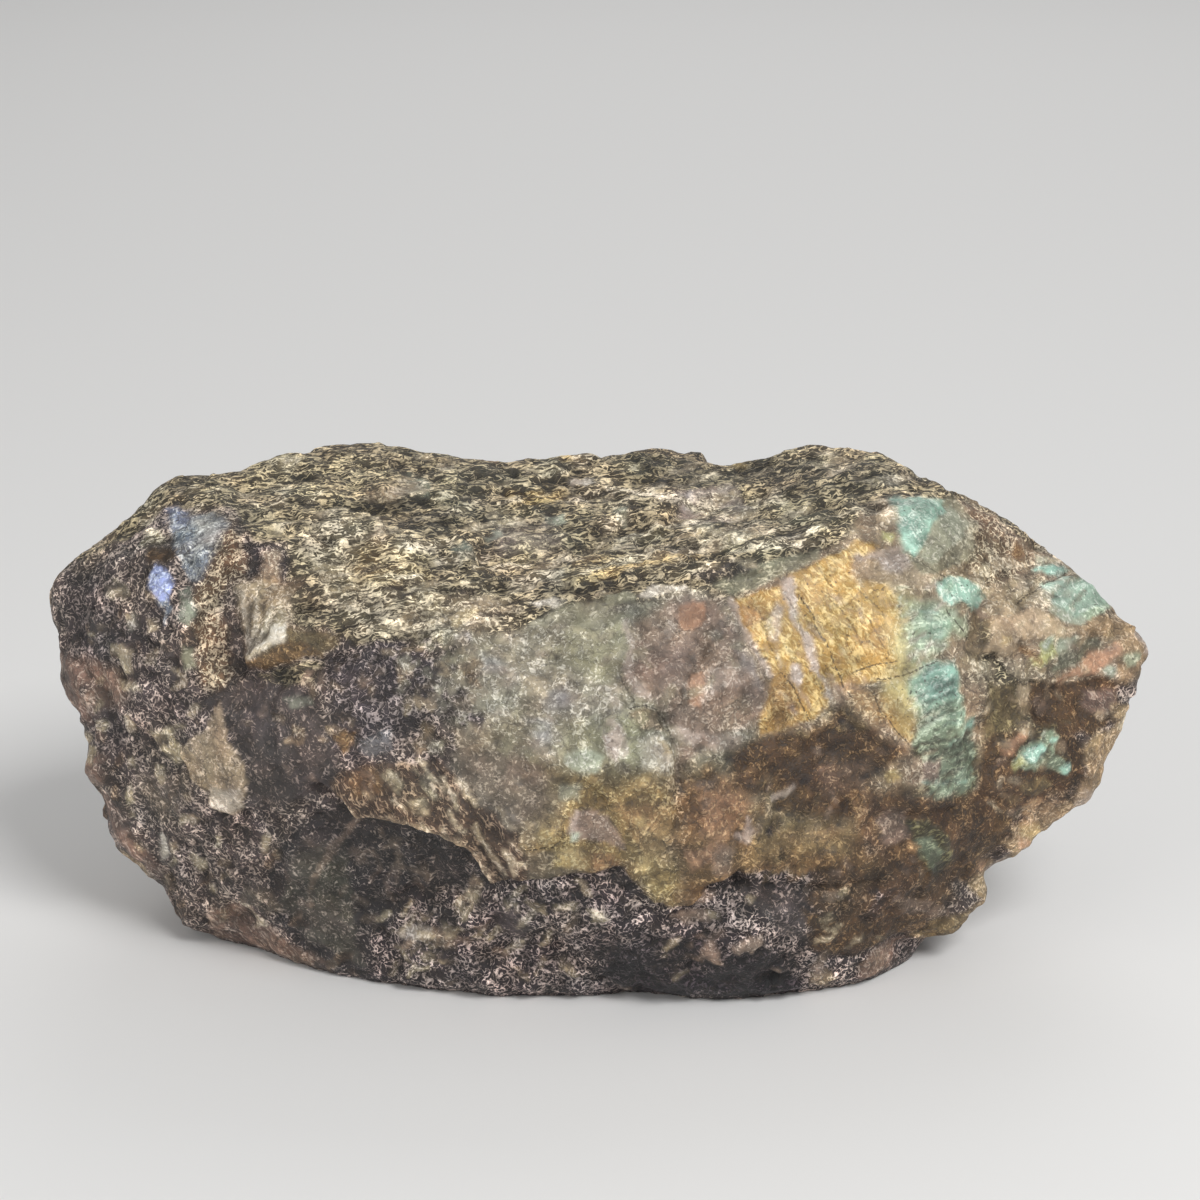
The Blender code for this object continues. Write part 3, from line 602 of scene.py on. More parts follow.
# The right end: tan and grey slabs, with streaks of teal and lime.
lay_patches(
    (OLIVE, 0.4, 1, 0, (44, 0), (46, 0.4), (46.2, -1.3), (44.8, -1.8), (43.2, -1.5)),
    (TAN, 0.5, 1, 0, (46, 3.2), (48, 3.3), (49.4, 2.2), (47.5, 0.8), (46.4, 0.5), (45.4, 1.3)),
    (BRIGHT_TEAL, 0.35, 1, 0, (47.9, 3.6), (49, 3.1), (50.5, 2.7), (51.3, 3.2), (50.8, 3.8), (49.5, 3.9),
     (48.5, 4)),
    (PALE_SEA, 0.5, 0.6, 0, (48.2, 5.3), (50, 4.8), (50.3, 4), (48.3, 4.1)),
    (PALE_SEA, 0.4, 1, 0, (49, 1.6), (51, 2.6), (53, 2.2), (55.2, 0.2), (56, -0.9), (55, -1.6),
     (54, -2.4), (51.5, -2.9), (50.3, -2.6), (49, -1.5), (48.4, 0)),
    (BRIGHT_TEAL, 0.6, 0.55, 0, (49, 1.6), (51, 2.6), (53, 2.2), (55.4, 0.2), (55.6, -1.2), (52, -2),
     (49.4, -0.8)),
    (PALE_SEA, 0.3, 1, 0, (50, 2.1), (52, 2.3), (51.6, 1.8), (50.3, 1.8)),
    (PALE_SEA, 0.5, 0.7, 0, (50.8, 0.9), (52, 0.7), (51.8, -0.2), (50.8, 0.1)),
    (TEAL, 0.4, 0.9, 0, (53, -1.5), (54.6, -0.9), (55.8, -0.8), (55, -1.7), (54, -2.4), (53.2, -2.2)),
    (CREAM, 0.6, 0.6, 0, (42.6, 0), (45, 1), (49, 1), (49.6, -1.6), (46.8, -0.8), (44.6, -2), (43, -1.4)),
    (SMOOTH_TAN, 0.35, 1, 0.3, (44.6, -2.2), (46.8, -1), (49, -1.8), (50.5, -3), (52.2, -3.5), (51, -4.4),
     (48.5, -4.2), (46.2, -4.5), (45.7, -3.8)),
    (SMOOTH_TAN, 0.35, 1, 0.2, (43.2, -1.8), (44.6, -2.3), (45.7, -4), (46, -5.5), (44.5, -6.2),
     (42.4, -5.6), (43, -4)),
    (YELLOW, 0.5, 0.6, 0, (44, -3.8), (44.9, -3.8), (44.8, -4.8), (44, -4.8)),
    (RIND, 0.5, 1, 0, (52, -2.8), (56, -1.8), (57.5, -2.5), (58.8, -4), (55, -4), (52.3, -3.8)),
    (LIME, 0.35, 1, 0, (48.2, -4.6), (49.5, -4.4), (50, -5.8), (48.9, -6.8), (47.9, -7.3), (47.2, -6.7),
     (48, -6)))
spot(PALE_SEA, (48.8, -4.9), 0.5)
lay_patches(
    (AMBER, 0.35, 0.8, 0, (46.2, -4.9), (47, -5.2), (48.5, -6.8), (47.9, -7), (46.6, -6)),
    (GREEN_GREY, 0.35, 1, 0, (50, -4.4), (52, -4.1), (55, -4), (55.2, -4.8), (53.2, -5.5), (53.2, -6),
     (51.5, -7.5), (50, -8.1), (49.2, -7.7), (50, -6.5)),
    (PALE_SEA, 0.4, 0.6, 0, (50.2, -4.5), (52, -4.3), (51, -5.4), (50.1, -5.6)),
    (SALMON, 0.4, 0.8, 0, (50, -8.8), (51.4, -8.2), (52.6, -7), (53.5, -6), (56, -4.9), (58, -4.2),
     (58.4, -5.4), (56.3, -6.3), (55, -7.6), (54, -8.2), (52, -8.3), (50.6, -9.4)),
    (RIND, 0.5, 1, 0, (57, -4), (58.5, -4.2), (60, -6), (59.5, -7.8), (57.9, -9.2), (57.2, -9),
     (56.5, -7), (57, -5.5)),
    (TEAL, 0.4, 0.6, 0, (57, -6.1), (58.5, -5.7), (58.9, -6.6), (57.7, -7.3)))
spot(PALE_SEA, (55.9, -7.8), 0.5)
lay_patches(
    (BROWN, 0.6, 1, 0, (48, -8.5), (50, -9.5), (51, -9.3), (53, -8.8), (56, -8.2), (57.2, -9),
     (57.5, -11.5), (56.3, -13), (54, -14.5), (50, -15), (47.3, -13.5), (47.2, -10)),
    (RED_BROWN, 0.7, 0.9, 0, (53.5, -10), (57, -9.5), (57.3, -12), (55, -12.5), (53.5, -12)),
    (SMOOTH_TAN, 0.4, 0.8, 0, (45.9, -9.8), (47.6, -9.3), (47.2, -11.5), (46.5, -12.9), (45.8, -12),
     (46.2, -10.8)),
    (BROWN, 0.7, 1, 0, (42, -15.5), (46, -14.2), (51, -14), (53, -16), (52.8, -19.5), (49.5, -21.7),
     (46, -22.5), (45, -25.5), (43.5, -28.5), (40.5, -27.5), (39.5, -23.5), (42, -21)),
    (DEEP_TEAL, 0.6, 0.6, 0, (46.8, -14), (50.4, -13.6), (50.6, -16), (51.5, -17.4), (51.5, -18.6),
     (49, -19.2), (46, -18.4), (46.3, -16.5)),
    (SALMON, 0.35, 0.55, 0.2, (43.8, -16.4), (46.8, -13.9), (47, -14.6), (46.2, -16.3), (45, -17.1)),
    (TEAL, 0.3, 0.7, 0, (45.2, -17.8), (46.4, -16.2), (48.2, -15.2), (49.8, -14.4), (50.6, -15),
     (49.8, -16.6), (50.9, -17.6), (50.6, -18.8), (48.6, -18.2), (46.6, -18.6)),
    (BRIGHT_TEAL, 0.25, 1, 0.1, (45.9, -17.4), (46.8, -16.4), (48.5, -15.7), (48.9, -16.8), (47.4, -17.9)))
flakes((SHADOW, OLIVE), ((45.5, -15), (50.5, -14), (51, -19), (45.5, -18.6)), 12, 16, length=1.8,
       width=0.4, rise=35.0, sway=25.0, weight=0.8, lift=0.1)
lay_patches(
    (BRIGHT_TEAL, 0.25, 0.8, 0, (49.3, -15.3), (50.2, -15.2), (50.2, -15.8), (49.3, -15.8)),
    (BRIGHT_TEAL, 0.25, 0.8, 0, (50.2, -18.2), (51.3, -17.6), (51.3, -18.2), (50.4, -18.9)),
    (PALE_SEA, 0.25, 0.8, 0, (48.3, -15.1), (49.2, -14.7), (49, -14.3), (48.2, -14.8)),
    (LIME, 0.4, 0.8, 0, (45, -18), (46.3, -17.3), (46.6, -18), (45.4, -18.7)),
    (OLIVE, 0.5, 1, 0, (46, -19.7), (48.5, -19.3), (49.5, -20.6), (47.5, -21.3), (46, -20.9)),
    (RIND, 0.4, 1, 0.3, (56.3, -11.5), (58.5, -11.5), (58.5, -15), (56.5, -19), (53, -23), (49.5, -26),
     (49.5, -28), (46, -29.5), (44, -26.4), (45.4, -26), (45.2, -25.2), (46.9, -24), (46.4, -22.6),
     (47.3, -21.7), (49.5, -22), (51, -21.5), (52.3, -19.8), (52.9, -18.5), (52.7, -16), (54.3, -14.2),
     (56.2, -14)),
    (LILAC, 0.5, 0.5, 0, (51.2, -21.5), (52.6, -20), (53.9, -20.5), (52.8, -22.2), (51.9, -22.5)),
    (YELLOW, 0.6, 0.6, 0, (46, -25), (48, -24.6), (48.8, -25.5), (47.5, -26.4), (46, -25.9)),
    (SALMON, 0.5, 0.6, 0, (45.9, -26.2), (47.6, -26.5), (46.5, -27.3), (45.8, -27)),
    (CREAM, 0.4, 0.7, 0, (56.3, -13.8), (57.6, -12.2), (57.8, -13.4), (57, -14.5)),
    (RIND, 0.5, 0.9, 0, (40.3, -28), (42.5, -28.7), (43.4, -29.4), (43.4, -33), (40.5, -36.5),
     (36.5, -38.8), (35, -38), (36.3, -35.5), (39.5, -34.5), (41, -32.8), (40, -31), (40.6, -30)),
    (SALMON, 0.4, 0.6, 0, (40.6, -28.2), (42.6, -28.9), (42, -29.8), (40.6, -29.4)))

# The foot: dark broken stone with painted shade over it, nearly black in the middle.
lay_patches(
    (FOOT_STONE_AND_SHADE, 0.5, 1, 0, (-12.5, -31.6), (-8, -31.4), (-5, -30.9), (-1.5, -30.6), (0.5, -29.9),
     (1.3, -29.3), (2.8, -29.5), (4, -31.6), (6, -33.9), (8.3, -34.1), (10, -33.9), (11, -32.7),
     (12, -31.6), (13.5, -30.5), (15, -30.1), (31, -30), (33, -31), (35, -34), (34, -40), (28, -46),
     (-11, -46), (-24, -46), (-26, -38), (-20, -33)),
    (BROWN, 1, 1, 0, (29.6, -21.5), (42, -21.5), (43.5, -24), (43.5, -28.6), (40, -31), (33, -30.5),
     (29.4, -27)),
    (MAUVE, 0.7, 0.7, 0, (29.5, -23), (33.6, -23.2), (34.2, -26.2), (31.2, -27.4)),
    (DEEP_TEAL, 0.6, 0.8, 0, (33.8, -24.4), (36.4, -24), (38.6, -26), (38.8, -28.6), (37, -30.2),
     (35, -28)),
    (TEAL, 0.6, 0.35, 0, (34.8, -26.6), (36.6, -26), (37.6, -27.6), (36.8, -29.4), (35.6, -28.4)),
    (BROWN, 1, 0.9, 0, (24, -28.5), (31, -28.5), (38, -30.5), (39, -33), (31, -35.5), (22, -33.5)),
    (MAUVE, 0.5, 0.5, 0, (33, -33.2), (36, -32.8), (38.9, -34.5), (36, -35.2), (33, -34.6)),
    (OLIVE, 0.6, 0.7, 0, (36.5, -35), (39.8, -34.6), (40.5, -35.8), (37, -38.2), (35.5, -37.8)),
    (BLUE_CLEAR, 0.8, 0.22, 0, (18, -33.5), (21, -33.3), (24.3, -35), (23.5, -37), (20, -36.8),
     (18.6, -35)),
    (SMOOTH_DARK, 0.7, 0.8, 0, (15, -31.9), (21, -31.5), (24, -34.5), (23.5, -37.3), (19.5, -36.8),
     (18.5, -34), (15.5, -33.8)),
    (BROWN, 0.8, 1, 0, (22, -34), (31, -34.5), (36, -34.5), (37, -37), (30, -38.8), (26, -39.5), (23, -38)),
    (RED_BROWN, 0.6, 1, 0, (29, -40), (32, -38.4), (35, -38.3), (31, -41.5), (28, -43)),
    (CREAM, 0.3, 0.7, 0, (27, -38.2), (28, -37), (29.2, -36.7), (28.6, -37.5)),
    (TAN, 0.4, 0.8, 0.3, (23, -41), (24.8, -40.6), (26, -41.5), (25, -42.3), (23.2, -42.2)),
    (SLATE, 0.35, 1, 0, (1.3, -29.3), (2.7, -29.6), (4, -31.7), (6, -33.9), (3.5, -33.9), (2.3, -32),
     (0.5, -31)),
    (SMOOTH_DARK, 0.5, 1, 0, (-12, -34.2), (-9.5, -34.5), (-7.5, -37), (-9.5, -37.4), (-11.5, -36)),
    (BLACK, 1.2, 0.9, 0, (2, -37), (11, -36.6), (14, -38.6), (18, -38), (21, -40), (20, -44), (2, -44),
     (0, -40)),
    (BLACK, 0.6, 0.6, 0, (-8, -33), (-2, -32.4), (1, -33), (-2, -34), (-7, -34.4)),
    (BLACK, 0.8, 1, 0, (4, -41), (10, -41.3), (17, -41.5), (22, -41), (22, -44), (4, -44)),
    (BLACK, 0.7, 0.8, 0, (16, -38.4), (19.5, -38.2), (20, -40), (16.5, -40)),
    (MAUVE, 0.4, 0.9, 0.5, (10.7, -38.5), (12, -37.2), (13.1, -38.5), (13.5, -40.1), (12, -39.8)),
    (MAUVE, 0.4, 0.9, 0.4, (14, -37.8), (15.5, -37.3), (18, -36.7), (17.6, -38), (15, -38.7)),
    (MAUVE, 0.3, 0.9, 0.3, (7.8, -35.4), (10, -34.9), (13, -34.8), (12.5, -35.6), (9, -35.9)),
    (CREAM, 0.25, 0.8, 0.2, (-1.3, -34.4), (0, -34.6), (1.2, -35.3), (0, -35.7), (-1, -35.3)),
    (CREAM, 0.3, 0.5, 0, (-5.3, -33.9), (-3, -33.7), (-2.6, -34.4), (-4.5, -34.3)))

# The brown lip, and the smooth shell-shaped hollow under it.
lay_patches(
    (LIP, 0.5, 1, 0, (-28.2, -18.5), (-24, -18), (-20, -18), (-18, -17.3), (-15.8, -19), (-14.5, -21.5),
     (-12.5, -23), (-9, -25.5), (-7.8, -29), (-8, -31.3), (-12, -31.6), (-14.5, -27.5), (-17.5, -26.2),
     (-21, -24.9), (-25, -24.1), (-26.2, -24.8), (-28.4, -22.7), (-30, -20)),
    (HONEY, 0.7, 0.5, 0, (-28, -19.3), (-24, -18.8), (-23.5, -21.3), (-27, -21.8)),
    (CREAM, 0.5, 0.6, 0.2, (-21.2, -21.9), (-19.2, -21.7), (-18.7, -23.5), (-20.5, -23.4)),
    (CREAM, 0.3, 0.8, 0, (-19.6, -19.3), (-18.8, -19.7), (-17.6, -21.9), (-18.3, -21.9), (-19.4, -20.6)),
    (SLATE, 0.6, 1, 0, (-33, -24.5), (-28.3, -23.2), (-26.5, -25.1), (-24.5, -24.6), (-21, -25.3),
     (-17.5, -26.7), (-14.5, -27.9), (-11.8, -32), (-14, -33), (-18, -32), (-21, -33.5), (-25, -37.5),
     (-24.5, -43), (-29.5, -41.8), (-33, -38.5), (-35, -35), (-37, -32), (-35.5, -28)),
    (SHADOW, 0.6, 0.6, 0, (-32, -23.8), (-28.3, -22.9), (-26.8, -24.8), (-24.5, -24.4), (-20, -25.4),
     (-15, -27), (-12.2, -30.5), (-14, -29.5), (-19, -27.5), (-24, -26.5), (-30, -25.5)),
    (SMOOTH_DARK, 0.6, 0.6, 0, (-33, -27), (-30.5, -25.5), (-29, -27), (-31.5, -31), (-35, -31)),
    (SMOOTH_DARK, 0.8, 0.5, 0, (-33, -34), (-27, -33.5), (-25.8, -39), (-28, -41), (-31, -38)),
    (GREEN_GREY, 0.8, 0.22, 0, (-34, -29), (-29, -27), (-27, -33), (-26, -41), (-31, -38), (-35, -33)),
    (WHITE, 0.4, 0.7, 0, (-21.9, -36), (-19.5, -35.6), (-18.2, -36.3), (-18.5, -37.4), (-20.5, -37.6),
     (-22, -37)),
    (TAN, 0.4, 0.8, 0, (-16.3, -34), (-14, -33.6), (-13.7, -32), (-14.5, -30.9), (-15.2, -32.5)),
    (TAN, 0.5, 0.7, 0, (-18.3, -35.9), (-16, -36.4), (-15.8, -38.2), (-18, -38)),
    (RED_BROWN, 0.6, 1, 0, (-43, -34), (-38.5, -33.5), (-36, -35.6), (-34, -38), (-29.5, -40.5),
     (-31, -42), (-43, -39)),
    (DIM_CLEAR, 0.5, 0.6, 0, (-39.5, -31.5), (-36.5, -32), (-34.2, -34), (-36.5, -34.2), (-39.5, -32.8)))

# The weathered crust over the top, down to the brow.
lay_patches(
    (CRUST, 0.7, 1, 0, (-62.5, 4), (-57, 4.5), (-52, 6.5), (-49.5, 8.5), (-47, 9.5), (-41, 9.5),
     (-39.3, 8.5), (-38, 6.5), (-34, 6.3), (-30, 6), (-29.5, 1.5), (-29.5, -3), (-27, -5), (-22, -4.5),
     (-16.5, -4.5), (-12.5, -3.5), (-9, -3), (-4.5, -1), (1, 0.6), (4, 0), (9, 1.6), (14, 1.6), (18, 2.6),
     (20.5, 3.8), (24.5, 5.2), (27.5, 7.5), (29, 10.5), (33, 11.6), (36.5, 12), (42, 13), (42, 22),
     (-62.5, 22)),
    (CRUST, 0.7, 0.9, 0, (-34.6, 6.5), (-29, 7), (-28, 0), (-28.6, -3), (-33.6, -2.8), (-33.7, 0),
     (-32.6, 2), (-34.6, 2.6)),
    (DARK, 1, 0.5, 0, (-62, 6), (-56, 6), (-51, 10), (-47, 13.5), (-47, 15), (-62, 15)),
    (CREAM_CRUST, 1, 0.62, 0, (-34, 5.8), (-29.5, 9.5), (-26, 7.5), (-20, 6), (-20, 2), (-13, 0),
     (-9, -2), (-13, -3.6), (-17.5, -4.6), (-22, -4.2), (-27, -4), (-29.5, 0)),
    (CREAM, 1, 0.35, 0, (-20.5, 0.5), (-16, 0.8), (-12.5, -1), (-12.5, -3.4), (-17.5, -4.4), (-21, -3.8)),
    (YELLOW, 0.5, 0.5, 0, (-16.6, -1.7), (-13.5, -0.9), (-13.4, -2), (-16, -3.1)),
    (WHITE, 0.3, 0.8, 0, (-16.1, -3.9), (-14.2, -3.9), (-14.2, -4.7), (-15.7, -4.9)),
    (OCHRE_CRUST, 1, 0.5, 0, (-26, 7), (-21, 6.5), (-18.5, 3), (-22, 1), (-27, 2)),
    (OCHRE_CRUST, 0.7, 1, 0, (-10.3, 12), (-4, 12), (-4, 10.2), (-10.2, 10.3)),
    (OCHRE_CRUST, 0.5, 0.8, 0, (-4.5, 15.8), (-2.3, 15.8), (-2.4, 14.8), (-4.3, 14.8)),
    (OCHRE_CRUST, 0.6, 0.6, 0, (-2.5, 4.8), (2.6, 5), (2, 3.5), (-3, 2.6)),
    (DARK_CRUST, 1.2, 0.9, 0, (-1, 16.6), (16, 15.6), (30, 14), (30, 10), (20, 12), (8, 12.4), (1, 14)),
    (DARK_CRUST, 1, 0.8, 0, (-23, 11.5), (-15, 13), (-10.5, 11.5), (-9, 8.5), (-17, 8), (-21, 9)),
    (DARK_CRUST, 0.6, 1, 0, (-9, 10.2), (-4.5, 10.2), (-6, 8.9), (-8.8, 9.3)),
    (DARK_CRUST, 0.6, 1, 0, (-13.5, 14.3), (-9, 14), (-9, 12), (-13, 13)),
    (DARK_CRUST, 0.5, 0.7, 0, (15, 6), (21.5, 8.2), (28, 10.5), (29, 9.7), (22, 7), (16, 4.9)),
    (SLATE, 0.5, 0.6, 0, (10, 2.8), (14, 4.1), (18, 3.9), (16.5, 2.6), (12, 2)),
    (GREEN_GREY, 0.5, 0.8, 0, (12, 1.8), (18, 4), (24, 5.6), (24, 4.2), (20, 2.4), (14.6, 0.9)),
    (GREEN_GREY, 0.4, 1, 0, (0, 1), (3.5, 1.1), (4, 0.1), (1, -0.3)),
    (GREEN_GREY, 0.7, 0.7, 0, (-4.5, -0.6), (0.8, 0.4), (3, -1.5), (-1, -3.5), (-5, -2.5)),
    (PALE_SEA, 0.7, 0.45, 0, (-21, 13.4), (-18.5, 13.2), (-18.6, 11.5), (-20.8, 11.8)),
    (PALE_SEA, 0.4, 0.8, 0.15, (-6, 9), (-3.7, 9.1), (-4, 8.1), (-6.2, 8.2)),
    (PALE_SEA, 0.4, 0.7, 0.15, (1.8, 9.7), (3.2, 10), (3, 8.2), (1.7, 8.4)),
    (PALE_SEA, 0.5, 0.7, 0, (-12.6, 6.8), (-10.8, 7.4), (-10.4, 6.6), (-12.2, 6.3)),
    (PALE_SEA, 0.5, 0.6, 0, (-16, 5.8), (-14, 5.8), (-13, 4.8), (-15.6, 4.4)),
    (LILAC, 1, 0.35, 0, (-11, 8), (-6, 8.3), (-4, 6), (-6, 5), (-11, 5.4)),
    (LILAC, 0.6, 0.6, 0, (8, 11.5), (10, 12.1), (15, 12.3), (17, 10), (14, 8), (10.5, 8.6), (8.4, 10)),
    (BLUE_CLEAR, 0.5, 0.5, 0, (8.3, 11), (9.8, 12), (10, 10.3), (8.8, 10.1)),
    (CREAM, 0.4, 0.8, 0.25, (10.4, 8), (12.5, 8.6), (13, 7.2), (18.5, 7.9), (17.5, 6.6), (13, 5.9),
     (10.2, 5.8)),
    (WHITE, 0.3, 0.75, 0.25, (4, 0.6), (6, 1.9), (9.8, 1.9), (9.6, 1.3), (7, 1), (5, 0.3)),
    (WHITE, 0.25, 0.8, 0.25, (-7.8, -0.3), (-5, 0.1), (-3.6, 0), (-4.4, -0.6), (-6.5, -0.7)),
    (CREAM, 0.2, 0.8, 0, (14, 4.2), (17, 4.2), (17.8, 3.3), (15, 3.7)),
    (AMBER, 0.4, 0.6, 0, (-13.6, 15.8), (-11.4, 15.8), (-11.6, 14.9), (-13.2, 14.9)),
    (YELLOW, 0.3, 0.6, 0, (10.6, 15.7), (16, 15.7), (16, 14.7), (12, 15)),
    (CREAM, 0.3, 0.8, 0, (-25.8, 8.2), (-24.6, 9.1), (-23.9, 8.7), (-24.8, 8.2)),
    (CREAM, 0.4, 0.6, 0, (-31.2, 9.3), (-29.7, 10), (-29, 9.2), (-30.4, 8.7)))

# Small flakes everywhere: slivers along the crust's beds, crumbs over the broken stone.
flakes((CREAM_CRUST, DARK_CRUST, CRUST, CREAM, DARK_CRUST), ((-30, 8), (-18, 4), (-8, -0.5), (4, 1),
       (18, 3.5), (29, 11), (34, 14), (14, 16.5), (-14, 16.5), (-30, 14)), 170, 1, length=4.2, width=0.75,
       rise=14.0, sway=12.0, weight=0.75)
flakes((CREAM_CRUST, DARK_CRUST, DARK_CRUST, CREAM), ((0, 1.5), (12, 2.5), (29, 8.5), (29, 11), (14, 10),
       (0, 8)), 60, 14, length=8.0, width=0.55, rise=15.0, sway=6.0, weight=0.85, lift=0.25)
flakes((CREAM_CRUST, CREAM, SHADOW), ((-30, 4), (-20, 4), (-8, -0.5), (-9, -2.4), (-20, -3.8), (-29, -3)),
       40, 15, length=3.6, width=0.6, rise=8.0, sway=14.0, weight=0.75, lift=0.2)
flakes((CREAM_CRUST, DARK_CRUST, CRUST), ((-54, 7), (-47, 9), (-38, 8), (-30, 5), (-28, 10), (-30, 15),
       (-46, 13.5)), 50, 2, length=2.4, width=0.8, rise=5.0, sway=40.0, weight=0.75)
flakes((TAN, CREAM, SHADOW, DARK, SMOOTH_DARK, LIP), ((-57, 1), (-49, 4), (-45, -9), (-44, -24),
       (-36, -24), (-35, -33), (-24, -43), (-46, -36), (-56, -20)), 120, 3, length=2.0, width=1.0,
       weight=0.85, lift=0.2)
flakes((TAN, VIOLET_DARK, SHADOW, MAUVE), ((-40, -9), (-28, -6), (-18, -5), (-18, -12), (-28, -18),
       (-37, -23)), 60, 4, length=1.7, width=0.9, weight=0.6, lift=0.2)
flakes((VIOLET_DARK, DIM_CLEAR, CLEAR, TAN, DARK), ((-21.5, -4.5), (-14.5, -3.5), (-12.5, -9),
       (-13.5, -16), (-20, -17), (-22, -9)), 90, 12, length=2.0, width=1.2, weight=0.8, lift=0.15)
flakes((CREAM, TAN, SHADOW, CREAM), ((-24, -34), (-14, -33), (-13, -39), (-22, -41)), 36, 13, length=2.0,
       width=0.7, sway=70.0, weight=0.8, lift=0.3)
flakes((SHADOW, SMOOTH_DARK, MAUVE), ((-33, -25), (-16, -28), (-13, -32), (-25, -38), (-34, -38),
       (-36, -31)), 40, 5, length=2.4, width=0.9, rise=-40.0, sway=50.0, weight=0.5, lift=0.15)
flakes((MAUVE, CREAM, BLACK, SHADOW, BLACK, FOOT_STONE_AND_SHADE), ((-24, -33), (0, -31), (5, -34.5), (16, -31),
       (34, -32), (30, -41), (0, -43), (-24, -43)), 170, 6, length=2.2, width=0.9, rise=8.0, sway=60.0,
       weight=0.65, lift=0.3)
flakes((BROWN, HONEY, AMBER, SHADOW, MAUVE, OLIVE), ((9, -20), (18, -15), (30, -12), (35, -18), (38, -31),
       (12, -31)), 90, 7, length=1.9, width=1.0, weight=0.55, lift=0.2)
flakes((RIND, CREAM, BROWN, OLIVE, SMOOTH_TAN, MAUVE), ((41, 9), (50, 4), (58, -5), (56, -14), (50, -22),
       (44, -27), (42, -16), (42, -2)), 90, 8, length=1.7, width=0.9, rise=20.0, sway=60.0, weight=0.6,
       lift=0.2)
flakes((CLEAR, DIM_CLEAR, LILAC, MAUVE, SEA_CLEAR), ((-15, -6), (0, -2), (14, -2), (17, -9), (9, -19),
       (-5, -20), (-14, -20)), 70, 9, length=2.4, width=1.3, weight=0.4, lift=0.15)
flakes((CREAM, LIP, SHADOW, LIP), ((-27, -19), (-17, -18), (-9, -27), (-9, -31), (-16, -26), (-26, -24)),
       50, 10, length=2.6, width=0.6, rise=-52.0, sway=14.0, weight=0.55, lift=0.15)
flakes((GOLD, LILAC, PALE_GOLD, AMBER, GOLD), ((16, 0), (29, 6), (32, 0), (33, -8), (24, -13), (18, -14)),
       50, 11, length=2.8, width=0.6, rise=-62.0, sway=16.0, weight=0.45, lift=0.12)

lay_patches(
    (SMOOTH_TAN, 0.25, 0.72, 0.45, (-41.9, -11.4), (-41.2, -13.5), (-40.9, -15.5), (-39.9, -16.8),
     (-39.3, -18), (-38.7, -19.8), (-38.6, -21), (-39, -22.8), (-40.3, -23.8), (-41.6, -23.4),
     (-42.7, -22), (-42.6, -21), (-43.3, -20.5), (-44.8, -19.5), (-45.8, -17.8), (-46.3, -16.5),
     (-45.2, -15.2), (-43.7, -14.4), (-42.8, -13)),
    (WHITE, 0.6, 0.45, 0, (-42.3, -20.6), (-41, -21), (-39.1, -20.5), (-39, -22.8), (-40.3, -23.6),
     (-42.4, -22.3)))

# Thin seams and slivers.
for line in (((14.3, 0.5), (15.2, -2), (16.3, -3.8), (17.5, -5.5), (18.8, -8.5)), ((20.2, 2), (21.2, -2),
             (22.4, -4.2)), ((22.5, -3.8), (23.6, -7.2), (25.6, -10.5)), ((28.3, 4.3), (31.2, 4.9),
             (33.4, 5.7)), ((19, -21.8), (21.5, -20.6)), ((14.9, -25.8), (16, -26.6), (16, -25),
             (15.7, -23.5), (15.2, -22)), ((58.5, -4), (59.3, -5), (59.6, -5.8)), ((2.9, -2), (3.4, -4.5),
             (2.9, -7.4), (3.9, -9.6), (5.6, -10.2)), ((0.8, -13.2), (2.2, -15), (2.8, -17)),
             ((-2.8, -23.4), (-3.4, -25.5))):
    streak(LILAC, line, width=0.55, weight=0.7)
for line in (((-11.5, -23), (-10.5, -24), (-9.5, -25)), ((-10, -27.7), (-9, -28.9), (-8, -29)),
             ((-39, -6.4), (-36.5, -4.9)), ((-34.9, -0.5), (-35, -3)), ((23.5, -37.3), (25.2, -36.8)),
             ((51.6, 4), (52.7, 3.8)), ((49.5, 4.6), (51, 4.4)), ((-20, -17.5), (-18.6, -19.3)),
             ((-17, -19.5), (-15.5, -22.5)), ((-16.5, -23), (-14.8, -25.5)), ((-13.8, -24.5),
             (-11.8, -27.5)), ((-12, -27.8), (-10.3, -30.3)), ((-22.8, -19.2), (-21.6, -21)),
             ((-10.5, -27.5), (-9, -30)), ((-15.3, -19.8), (-13.8, -22.3)), ((-39.5, -33), (-37.5, -34.8),
             (-36.3, -35.7))):
    streak(CREAM, line, width=0.45, weight=0.7, lift=0.12)
for line in (((-26, -19.3), (-25.2, -19.2), (-24.7, -20.4), (-25.3, -21), (-26, -20.5), (-26, -19.5)),
             ((-28.5, -32.4), (-27.8, -31.7)), ((-26.3, -28.6), (-25.4, -28.6), (-24.8, -29.3),
             (-24.6, -30), (-25.3, -31)), ((-24, -28.2), (-22.7, -28), (-22.3, -29), (-22.8, -30),
             (-24, -31.5), (-25, -31.8), (-26, -31.2)), ((-22.8, -31.2), (-22.2, -30.2), (-21.5, -30),
             (-20, -30.8), (-19, -31.3))):
    streak(MAUVE, line, width=0.4, weight=0.5)
streak(TAN, ((-28.3, -22.5), (-27.2, -23.2), (-26.9, -24.2), (-26.2, -24.6), (-25.2, -24.4),
       (-24.8, -23.9), (-23, -24.1), (-21, -24.7), (-19.7, -25.3), (-19, -25.9), (-17.5, -26.1),
       (-15.5, -26.5), (-14.5, -27.3), (-13, -29), (-12, -31)), width=0.6, weight=0.8, lift=0.25)
streak(MAUVE, ((-27, -24.3), (-28, -26), (-30, -28), (-31.5, -30.5), (-32, -32)), width=0.6, weight=0.7)
streak(CREAM, ((-34.6, 14.7), (-33.5, 14.4)), width=0.9, weight=0.8)
streak(CREAM, ((-39.6, 10.9), (-38.4, 11)), width=0.7, weight=0.7)
